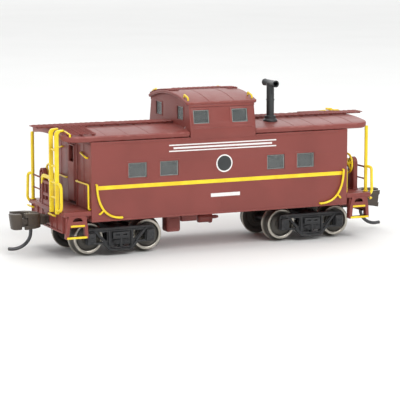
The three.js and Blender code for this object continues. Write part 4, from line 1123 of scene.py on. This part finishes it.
def brake_housing():
    """Upright channel of the hand brake with its rounded head, ribs and chain guard, at +X."""
    x0, x1 = HOUSING_LOW.x, HOUSING.x
    y, half, top = (HOUSING_LOW.y + HOUSING.y) / 2, (HOUSING.y - HOUSING_LOW.y) / 2, HOUSING.z
    low = DECK_TOP
    head = arc((y, top - half), half, 0, 180, 14)
    outline = [(y - half, low), (y + half, low), *head]
    inner = arc((y, top - half), half - 0.3, 0, 180, 12)
    recess = [(y - half + 0.3, low + 0.5), (y + half - 0.3, low + 0.5), *inner]
    parts = [
        plate(outline, x1 - x0 - 0.3, facing(END, x0), edge=0.08),
        plate(outline, 0.34, facing(END, x1 - 0.34), [recess], edge=0.07),
        drum((x1 - 0.35, y, top - half), (x1 + 0.02, y, top - half), 0.42, 0.06, 24),
        drum((x1 - 0.35, y, 9.4), (x1 - 0.12, y, 9.4), 0.5, 0.05, 24),
        block((x0 - 0.1, x1 + 0.05), (y - half - 0.12, y + half + 0.12), (low - 0.05, low + 0.3), 0.06),
    ]
    for i in range(9):
        z = 9.7 + i * 0.27
        parts.append(block((x1 - 0.36, x1 - 0.2), around(y, 0.1), around(z, 0.08), 0.03))
    return parts


def brake_handwheel():
    """Round rim, four bent spokes and a hub, inboard of the housing at +X."""
    low, high = corners("brake_wheel_front")
    x, y, z = low.x + 0.25, (low.y + high.y) / 2, (low.z + high.z) / 2
    centre = Vector((x, y, z))
    radius, tube = 1.67, 0.19
    rim = [
        (radius + tube * math.cos(i * math.tau / 10), tube * math.sin(i * math.tau / 10)) for i in range(10)
    ]
    parts = [
        spun(rim, centre, (1, 0, 0), 40, ring=True),
        drum((x - 0.2, y, z), (HOUSING_LOW.x + 0.05, y, z), 0.3, 0.06, 20),
        drum((x - 0.28, y, z), (x - 0.1, y, z), 0.2, 0.04, 12),
    ]
    for i in range(4):
        angle = math.tau * (i + 0.5) / 4
        out = Vector((0, math.cos(angle), math.sin(angle)))
        parts.append(wire([
            centre + Vector((0.12, 0, 0)),
            centre + out * 0.8 + Vector((0.08, 0, 0)),
            centre + out * radius,
        ], 0.14, 0.4, 8))
    return parts


def side_iron(side):
    """Curved grab iron at a side's end, at +X, with its feet and the stay at the bend."""
    y = side * (BODY.y + 0.3)
    wall = side * (BODY.y - 0.05)
    start, corner, end = Vector((22.85, y, 12.0)), Vector((22.7, y, 6.35)), Vector((18.4, y, 6.37))
    path = []
    for i in range(15):
        t = i / 14
        path.append(start.lerp(corner, t).lerp(corner.lerp(end, t), t))
    middle = path[7]
    outward = Vector((0.62, 0, -0.6))
    feet = [Vector((start.x, wall, start.z)), Vector((end.x, wall, end.z))]
    return [
        wire([feet[0], *path, feet[1]], 0.19, 0, 12),
        wire([middle, middle + outward, middle + outward * 1.1 + Vector((0, wall - y, 0))], 0.16, 0.15, 10),
    ]


def ends():
    """Everything that an end of the car carries, shaped once and turned for the rear."""
    for end in ENDS:
        rear = end == "rear"
        piece(f"end_door_trim_{end}", *MAROON_PARTS, [], *door_trim(), rear=rear)
        piece(f"end_wall_irons_{end}", *YELLOW_PARTS, [], *end_irons(), rear=rear)
        piece(f"platform_moulding_{end}", *MAROON_PARTS, [f"end_platform_{end}"], *platform(), rear=rear)
        piece(f"tread_edges_{end}", *YELLOW_PARTS, [], *tread_edges(), rear=rear)
        piece(f"railing_wires_{end}", *YELLOW_PARTS, [f"end_railing_{end}"], *railing_wires(), rear=rear)
        piece(f"railing_plates_{end}", *MAROON_PARTS, [], *railing_plates(), rear=rear)
        piece(f"ladder_rails_{end}", *YELLOW_PARTS, [f"ladder_{end}"], *ladder_rails(), rear=rear)
        piece(f"brake_housing_{end}", *MAROON_PARTS, [f"brake_stand_{end}"], *brake_housing(), rear=rear)
        piece(f"brake_handwheel_{end}", *YELLOW_PARTS, [f"brake_wheel_{end}"], *brake_handwheel(), rear=rear)
        for name, side in (("right", -1), ("left", 1)):
            node = f"grab_iron_{end}_{name}"
            piece(f"side_iron_{end}_{name}", *YELLOW_PARTS, [node], *side_iron(side), rear=rear)


# ---- under the floor ----------------------------------------------------------------------

def floor_pan():
    """Floor, centre sill with its flanges, crossbearers, centre plates and a pipe."""
    low, high = corners("underframe")
    sill = (-SILL_END, SILL_END)
    parts = [
        block((low.x, high.x), (low.y, high.y), (6.1, high.z), 0.08),
        block(sill, (-0.95, 0.95), (low.z + 0.02, 6.2), 0.04),
        block(sill, (-1.12, -0.7), (low.z, low.z + 0.12), 0.03),
        block(sill, (0.7, 1.12), (low.z, low.z + 0.12), 0.03),
    ]
    for x in (-9.6, 0.6, 9.6):
        for half, z in ((0.3, (5.98, 6.2)), (0.4, (5.9, 6.0))):
            parts.append(block((x - half, x + half), (low.y + 0.4, high.y - 0.4), z, 0.03))
    for x in (-TRUCK_X, TRUCK_X):
        parts.append(drum((x, 0, TRUCK_TOP + 0.1), (x, 0, 6.2), 1.5, 0.05, 40))
    pipe = [(-11.6, 2.2, 5.92), (-3.2, 2.2, 5.92), (-2.4, 2.2, 5.3), (-1.2, 2.6, 4.9)]
    parts.append(wire(pipe, 0.14, 0.5, 8))
    return parts


def equipment():
    """The cases, cylinder and tank that hang from the floor."""
    low, high = corners("equipment_box")
    case = [
        block((low.x, high.x), (low.y, high.y), (low.z, high.z), 0.42, 4),
        block((low.x - 0.08, high.x + 0.08), (low.y - 0.08, high.y + 0.08), (5.2, 5.45), 0.05),
        block((low.x + 0.35, high.x - 0.35), (low.y - 0.07, low.y + 0.1), (3.1, 4.9), 0.05),
    ]
    piece("equipment_case", *MAROON_PARTS, ["equipment_box"], *case)
    low, high = corners("battery_box")
    box = [
        block((low.x + 0.15, high.x - 0.15), (low.y + 0.15, high.y - 0.15), (low.z, high.z), 0.1),
        block((low.x, high.x), (low.y, high.y), (5.45, 5.75), 0.06),
        block((low.x + 0.5, high.x - 0.5), (low.y + 0.08, low.y + 0.25), (4.4, 5.25), 0.04),
    ]
    piece("battery_case", *MAROON_PARTS, ["battery_box"], *box)
    y, z = -3.2, 4.35
    cylinder = [
        spun([
            (0, -2.32), (0.55, -2.3), (0.78, -2.15), (0.85, -1.95), (0.85, -0.1), (1.0, -0.08), (1.0, 0.18),
            (0.86, 0.22), (0.5, 0.3), (0.32, 0.45), (0.3, 1.3), (0.22, 1.36), (0.22, 1.6), (0, 1.62),
        ], (0, y, z), (1, 0, 0), 32),
        block((-1.9, -0.6), (-3.6, -2.8), (4.9, 6.04), 0.06),
    ]
    for i in range(6):
        angle = math.tau * i / 6
        at = Vector((0.16, y + 0.9 * math.cos(angle), z + 0.9 * math.sin(angle)))
        cylinder.append(drum(at, at + Vector((0.12, 0, 0)), 0.09, 0, 6))
    piece("brake_cylinder_body", *MAROON_PARTS, ["brake_cylinder"], *cylinder)
    low, high = corners("air_reservoir")
    middle = (low.x + high.x) / 2
    tank = [
        spun([
            (0, -2.3), (0.5, -2.24), (0.8, -2.08), (0.95, -1.8), (0.95, -0.05), (0.98, 0), (0.95, 0.05),
            (0.95, 1.8), (0.8, 2.08), (0.5, 2.24), (0, 2.3),
        ], (middle, 3.6, 4.5), (1, 0, 0), 32),
        block((-0.9, -0.5), (3.1, 4.1), (4.6, 6.04), 0.05),
        block((1.7, 2.1), (3.1, 4.1), (4.6, 6.04), 0.05),
    ]
    piece("air_tank", *MAROON_PARTS, ["air_reservoir"], *tank)


# ---- trucks -------------------------------------------------------------------------------

def slant(start, end, width, depth, side_face):
    """A flat bar between two points of a sideframe, proud of its face."""
    start, end = Vector(start), Vector(end)
    along = (end - start).normalized()
    off = Vector((-along.y, along.x)) * width / 2
    points = [start - off, end - off, end + off, start + off]
    return plate([(p.x, p.y) for p in points], depth, facing(NEAR, side_face), edge=0.05)


def sideframe():
    """One side of a truck, at -Y and centred on X: openwork frame, spring packs and journal boxes."""
    back, face = SIDEFRAME["back"], SIDEFRAME["face"]
    plate_outline = [
        (-6.1, 3.75), (-6.1, 1.9), (-5.9, 1.65), (-3.1, 1.65), (-1.8, 0.45), (1.8, 0.45), (3.1, 1.65),
        (5.9, 1.65), (6.1, 1.9), (6.1, 3.75), (6.0, 4.3), (5.6, 4.45), (-5.6, 4.45), (-6.0, 4.3),
    ]
    openings = []
    for flip in (-1, 1):
        for points in (
            [(2.85, 1.98), (4.4, 1.98), (4.4, 3.45)],
            [(2.35, 2.2), (2.5, 2.2), (4.0, 3.7), (2.35, 3.7)],
            [(0.2, 0.95), (1.5, 0.95), (1.8, 1.3), (1.8, 1.45), (0.2, 1.45)],
        ):
            openings.append(mirrored(points, flip))
    parts = [
        plate(plate_outline, face - back, facing(NEAR, back), openings, edge=0.05),
        block((-5.75, 5.75), (-face, -face - 0.3), (4.05, 4.42), 0.09, 3),
        block((-5.4, 5.4), (-face, -face - 0.16), (3.72, 3.95), 0.06),
        block((-1.9, 1.9), (-face, -face - 0.22), (0.46, 0.8), 0.08),
    ]
    for flip in (-1, 1):
        parts.append(slant((flip * 4.75, 4.15), (flip * 2.75, 1.95), 0.34, 0.28, face))
        parts.append(slant((flip * 3.1, 2.0), (flip * 1.75, 0.62), 0.4, 0.24, face))
        parts.append(block((flip * 1.85, flip * 2.2), (-face, -face - 0.24), (1.1, 3.85), 0.07))
        parts.append(block((flip * 2.9, flip * 5.9), (-face, -face - 0.14), (1.68, 1.95), 0.06))
        parts.extend(journal_box(flip * HALF_BASE, face))
    return parts + spring_group(face)


def journal_box(x, face):
    """Journal box with a hinged lid and the lid's slot."""
    low, high = 1.9, 3.72
    front = face + 0.62
    lid_slot = oblong(0.24, 2.78, 2.92, x)
    return [
        block(around(x, 0.7), (-6.2, -front), (low, high), 0.14, 3),
        plate(
            [(x - 0.5, low + 0.18), (x + 0.5, low + 0.18), (x + 0.58, 3.3), (x + 0.35, 3.5), (x - 0.35, 3.5),
             (x - 0.58, 3.3)], 0.2, facing(NEAR, front - 0.08), [lid_slot], edge=0.05,
        ),
        drum((x - 0.36, -front - 0.02, 3.52), (x + 0.36, -front - 0.02, 3.52), 0.1, 0.02, 12),
        drum((x, -front + 0.1, 2.35), (x, -front - 0.16, 2.35), 0.13, 0.03, 12),
    ]


def spring_group(face):
    """Bolster end with its two pockets, and the leaf springs that carry it."""
    pockets = [oblong(0.38, 3.02, 3.28, -0.62), oblong(0.38, 3.02, 3.28, 0.62)]
    parts = [
        plate(oblong(1.5, 2.5, 3.6), 0.5, facing(NEAR, face), pockets, edge=0.07),
        block((-1.4, 1.4), (-face, -face - 0.2), (2.6, 3.5), 0.04),
        block((-0.18, 0.18), (-face, -face - 0.5), (1.2, 2.6), 0.06),
        block((-1.7, 1.7), (-face, -face - 0.36), (0.95, 1.12), 0.05),
    ]
    for side in (-1, 1):
        for i in range(5):
            reach, z = 1.5 - 0.17 * i, 2.4 - 0.17 * i
            across = (0.1, 0.5, 0.9, reach)
            top = [(x, z - 0.3 * (x / 1.5) ** 2) for x in across]
            under = [(x, z - 0.13 - 0.3 * (x / 1.5) ** 2) for x in across[::-1]]
            leaf = mirrored(top + under, side)
            parts.append(plate(leaf, 0.38, facing(NEAR, face - 0.05), edge=0.02, segments=1))
    return parts


def truck_casting():
    """Two sideframes, bolster, brake beams and centre boss, at +X."""
    near, far = sideframe(), sideframe()
    for part in far:
        bmesh.ops.transform(part, matrix=Matrix.Rotation(math.pi, 4, "Z"), verts=part.verts)
    parts = near + far + [
        block((-1.45, 1.45), (-6.3, 6.3), (3.0, 4.4), 0.12),
        block((-0.9, 0.9), (-6.3, 6.3), (1.2, 1.6), 0.08),
        drum((0, 0, 4.3), (0, 0, TRUCK_TOP), 1.5, 0.08, 40),
        drum((0, 0, 4.35), (0, 0, 4.6), 2.1, 0.08, 40),
    ]
    for x in (-2.0, 2.0):
        parts.append(block(around(x, 0.2), (-5.6, 5.6), (2.3, 2.65), 0.06))
        for y in (-5.0, 5.0):
            flip = math.copysign(1, x)
            parts.append(block((x, x + flip * 0.32), around(y, 0.35), (1.8, 3.1), 0.08))
            parts.append(block(around(x, 0.1), around(y, 0.12), (2.5, 4.0), 0.03))
    for part in parts:
        bmesh.ops.translate(part, vec=(TRUCK_X, 0, 0), verts=part.verts)
    return parts


def wheel(x, side):
    """A turned wheel: flange inwards, coned tread, bright rim and a dished web."""
    profile = [
        (0.58, 3.9), (1.1, 3.82), (1.25, 4.02), (1.9, 4.06), (2.15, 3.86), (2.3, 3.8), (2.86, 3.8),
        (2.98, 3.84), (3.045, 3.93), (3.05, 4.0), (3.0, 4.1), (2.82, 4.22), (2.68, 4.32), (2.645, 4.45),
        (2.62, 4.7), (2.6, 5.56), (2.57, 5.64), (2.49, 5.7), (2.2, 5.7), (2.13, 5.66), (2.08, 5.5),
        (1.98, 5.34), (1.8, 5.26), (1.2, 5.3), (1.06, 5.38), (1.0, 5.58), (0.94, 5.68), (0.58, 5.7),
    ]
    part = spun([(r, a * side) for r, a in profile], (x, 0, AXLE_Z), (0, 1, 0), 72, ring=True)
    radius = part.verts.layers.float.new("radius")
    lit_rings = part.verts.layers.float.new("lit_rings")
    for vert in part.verts:
        out = math.hypot(vert.co.x - x, vert.co.z - AXLE_Z)
        on_rim = 2.1 < out < 2.59 and abs(vert.co.y) > 5.6
        vert[radius] = out
        # the flange edge and rim face stay bright; the tread and web take the painted shade
        vert[lit_rings] = 1.0 if out > 2.9 or on_rim else 0.12
    return part


def axle(x):
    """Axle with a waist between the wheels and pointed ends in the journal boxes."""
    half = 6.68
    profile = [
        (0, -half), (0.12, -half + 0.02), (0.4, -half + 0.45), (0.4, -6.0), (0.6, -5.82), (0.6, -3.6),
        (0.72, -3.5), (0.72, -3.3), (0.52, -3.0), (0.5, 0),
    ]
    mirrored = [(r, -a) for r, a in profile[-2::-1]]
    return spun(profile + mirrored, (x, 0, AXLE_Z), (0, 1, 0), 32)


def trucks():
    """Both trucks with their axles and wheels."""
    for end in ENDS:
        rear = end == "rear"
        piece(
            f"truck_casting_{end}", f"truck_{end}", "truck_plastic", TRUCK_BLACK,
            [f"truck_frame_{end}"], *truck_casting(), rear=rear,
        )
        for place, dx in (("inner", -HALF_BASE), ("outer", HALF_BASE)):
            name, x = f"{end}_{place}", TRUCK_X + dx
            body_name = f"wheelset_{name}"
            piece(
                f"axle_shaft_{name}", body_name, "steel", BLACK_STEEL, [f"axle_{name}"], axle(x), rear=rear,
            )
            for side_name, side in (("left", 1), ("right", -1)):
                node = f"wheel_{name}_{side_name}"
                turned = wheel(x, side)
                piece(f"turned_{node}", body_name, "wheel_metal", WHEEL_METAL, [node], turned, rear=rear)


# ---- couplers -----------------------------------------------------------------------------

def level(z):
    """Where a plan outline lies flat at a level."""
    return Matrix.Translation((0, 0, z))


def flare(part):
    """Makes a casting at +X taller towards its nose, with a guard arm that hangs lower and rakes back."""
    for vert in part.verts:
        x, y, z = vert.co
        rise = z - COUPLER_Z
        nose = min(max((x - 32.2) / 1.6, 0), 1)
        vert.co.z = COUPLER_Z + rise * (1 + 0.066 * (x - 32)) - 0.2 * nose * (y < 0)
        vert.co.x = x + 0.13 * nose * rise


def coupler_casting():
    """Coupler head with its guard arm and knuckle jaws, shank and pivot eye, at +X."""
    low, high = HEAD_LOW, HEAD_HIGH
    px, py = KNUCKLE_PIN
    tail = 0.63
    head = [
        (29.8, -1.0), (30.3, -1.85), (31.6, -2.0), (33.9, -2.2), (34.1, -1.95), (33.8, -1.6), (32.5, -1.05),
        (31.5, -0.4), (31.5, 0.35), (px - 0.15, py - 0.1), (px + 0.45, py + 0.1), (px + 0.5, py + 0.65),
        (px + 0.25, py + 0.95), (31.0, 2.1), (30.3, 1.8), (29.8, 1.0),
    ]
    waist = [
        (29.8, -1.0), (30.3, -1.8), (31.6, -1.95), (33.8, -2.15), (33.7, -1.65), (32.45, -1.1),
        (31.45, -0.45), (31.45, 0.35), *arc((px, py), 0.68, 218, 96, 10), (px - 0.05, py + 0.9),
        (31.0, 2.05), (30.3, 1.75), (29.8, 1.0),
    ]
    pin_hole = [arc((px, py), 0.3, 0, 360, 20)[:-1]]
    jaw = high - COUPLER_Z - tail
    eye = [
        *arc((COUPLER_PIVOT, 0), 0.75, 90, 270, 12), (30.0, -0.75), (30.0, 0.75),
    ]
    cast = [
        plate(head, jaw, level(low), pin_hole, edge=0.12, segments=3),
        plate(head, jaw, level(COUPLER_Z + tail), pin_hole, edge=0.12, segments=3),
        plate(waist, 2 * tail + 0.3, level(COUPLER_Z - tail - 0.15), edge=0),
        block((30.2, 31.3), (-0.35, 0.35), (high - 0.05, high + 0.07), 0.05),
    ]
    for part in cast:
        flare(part)
    return cast + [
        plate(eye, 1.2, level(COUPLER_Z - 0.6), [arc((COUPLER_PIVOT, 0), 0.53, 0, 360, 20)[:-1]], edge=0.1),
        block((28.7, 30.0), (-0.9, 0.9), (4.65, 6.3), 0.14, 3),
        drum((31.0, -0.6, low + 0.2), (31.0, -0.6, low - 0.12), 0.5, 0.06, 24),
    ]


def knuckle_jaw():
    """The hook that swings open, its tail and its pin, at +X."""
    low, high = HEAD_LOW, HEAD_HIGH
    px, py = KNUCKLE_PIN
    reach = px + 0.98
    hook = [
        (reach, py - 0.15), (34.2, 0.75), (34.25, 0.2), *arc((34.6, 0.2), 0.3, 215, 330, 4), (35.03, 0.5),
        (35.03, 1.3), *arc((34.33, 1.35), 0.68, 20, 90, 4), (reach, 2.0),
    ]
    jaw = plate(hook, high - low, level(low), edge=0.14, segments=3)
    for vert in jaw.verts:
        vert.co.x += 0.14 * (vert.co.z - COUPLER_Z) * min(max((vert.co.x - reach) / 1.2, 0), 1)
    return [
        jaw,
        block((px + 0.82, reach + 0.2), around(py, 0.3), (low + 0.2, high - 0.2), 0.06),
        block((px, reach + 0.2), (py - 0.3, py + 0.5), (COUPLER_Z - 0.55, COUPLER_Z + 0.55), 0.06),
        drum((px, py, COUPLER_Z - 0.55), (px, py, COUPLER_Z + 0.55), 0.62, 0.06, 28),
        drum((px, py, low + 0.02), (px, py, high + 0.02), 0.25, 0.05, 20),
    ]


def trip_pin():
    """Curved wire that hangs from the head and turns out over the rail, at +X."""
    spine = [
        (31.0, 4.3), (31.0, 3.3), (31.1, 2.6), (31.4, 1.98), (31.9, 1.4), (32.6, 0.95), (33.4, 0.68),
        (34.2, 0.62), (35.0, 0.72),
    ]
    return wire([(x, -0.6, z) for x, z in spine], 0.29, 0.3, 16, 3)


def couplers():
    """Both couplers with their knuckles and trip pins."""
    for end in ENDS:
        rear = end == "rear"
        piece(
            f"coupler_casting_{end}", f"coupler_{end}", "coupler_plastic", COUPLER_BROWN,
            [f"coupler_{end}"], *coupler_casting(), rear=rear,
        )
        piece(
            f"trip_pin_wire_{end}", f"coupler_{end}", "steel", BLACK_STEEL, [f"trip_pin_{end}"],
            trip_pin(), rear=rear,
        )
        piece(
            f"knuckle_jaw_{end}", f"knuckle_{end}", "coupler_plastic", COUPLER_BROWN,
            [f"knuckle_{end}"], *knuckle_jaw(), rear=rear,
        )


# ---- CAD pieces that stay -----------------------------------------------------------------

def keep_frame_pieces():
    """Gives the inner CAD pieces, whose shapes are right, their real finishes."""
    kept = {"weight_plate": STEEL, "cupola_glazing": GLAZING}
    for side in SIDES:
        kept[f"side_glazing_{side}"] = GLAZING
    for end in ENDS:
        kept[f"door_glazing_{end}"] = GLAZING
        kept[f"coupler_box_lid_{end}"] = CHARCOAL
        kept[f"lid_screw_{end}"] = STEEL
        kept[f"pivot_screw_{end}"] = STEEL
        kept[f"centring_spring_{end}"] = STEEL
    for name, finish in kept.items():
        for material_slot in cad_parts[name].material_slots:
            material_slot.material = finish


# ---- studio -------------------------------------------------------------------------------

AZIMUTH = math.radians(-24.09)
ELEVATION = math.radians(8.74)
DISTANCE = 320.2
AIM = Vector((0, 0.7, 6.74))
LENS = 166.1


def camera():
    """A long lens from the car's right, a little towards its rear and a little above it."""
    data = bpy.data.cameras.new("camera")
    data.lens = LENS
    data.sensor_width = 36
    data.clip_start, data.clip_end = 0.01, 20
    holder = bpy.data.objects.new("camera", data)
    level_part = math.cos(ELEVATION)
    back = Vector((
        math.sin(AZIMUTH) * level_part, -math.cos(AZIMUTH) * level_part, math.sin(ELEVATION),
    ))
    holder.location = (AIM + back * DISTANCE + Vector((0, 0, RAIL))) * MM
    holder.rotation_euler = (-back).to_track_quat("-Z", "Y").to_euler()
    bpy.context.scene.collection.objects.link(holder)
    bpy.context.scene.camera = holder


def soft_light(name, place, size, power, aim=(0, 0, 0.012)):
    """A large square lamp that points at the car."""
    data = bpy.data.lights.new(name, "AREA")
    data.shape = "RECTANGLE"
    data.size, data.size_y = size
    data.energy = power
    holder = bpy.data.objects.new(name, data)
    holder.location = place
    holder.rotation_euler = (Vector(aim) - Vector(place)).to_track_quat("-Z", "Y").to_euler()
    bpy.context.scene.collection.objects.link(holder)


def studio():
    """Pale floor, even surroundings, and soft lamps in front, to the left, above and behind."""
    scene = bpy.context.scene
    world = bpy.data.worlds.new("studio")
    world.use_nodes = True
    background = world.node_tree.nodes["Background"]
    background.inputs["Color"].default_value = (0.98, 0.99, 1.0, 1)
    background.inputs["Strength"].default_value = 0.44
    scene.world = world
    scene.view_settings.view_transform = "Standard"
    scene.view_settings.look = "None"
    soft_light("key", (0.10, -0.55, 0.50), (0.5, 0.4), 3.4)
    soft_light("fill", (-0.60, -0.15, 0.30), (0.4, 0.4), 1.3)
    soft_light("top", (0.05, 0.15, 0.65), (0.5, 0.5), 1.7)
    soft_light("backdrop", (0.35, 1.1, 0.48), (2.2, 0.85), 7.0)
    shape = bmesh.new()
    bmesh.ops.create_grid(shape, x_segments=8, y_segments=8, size=1.5)
    mesh = bpy.data.meshes.new("floor")
    shape.to_mesh(mesh)
    shape.free()
    mesh.materials.append(studio_floor())
    floor = bpy.data.objects.new("floor", mesh)
    scene.collection.objects.link(floor)


camera()
body()
roofs()
cupola()
ends()
piece("floor_pan", *MAROON_PARTS, ["underframe"], *floor_pan())
equipment()
trucks()
couplers()
keep_frame_pieces()
studio()
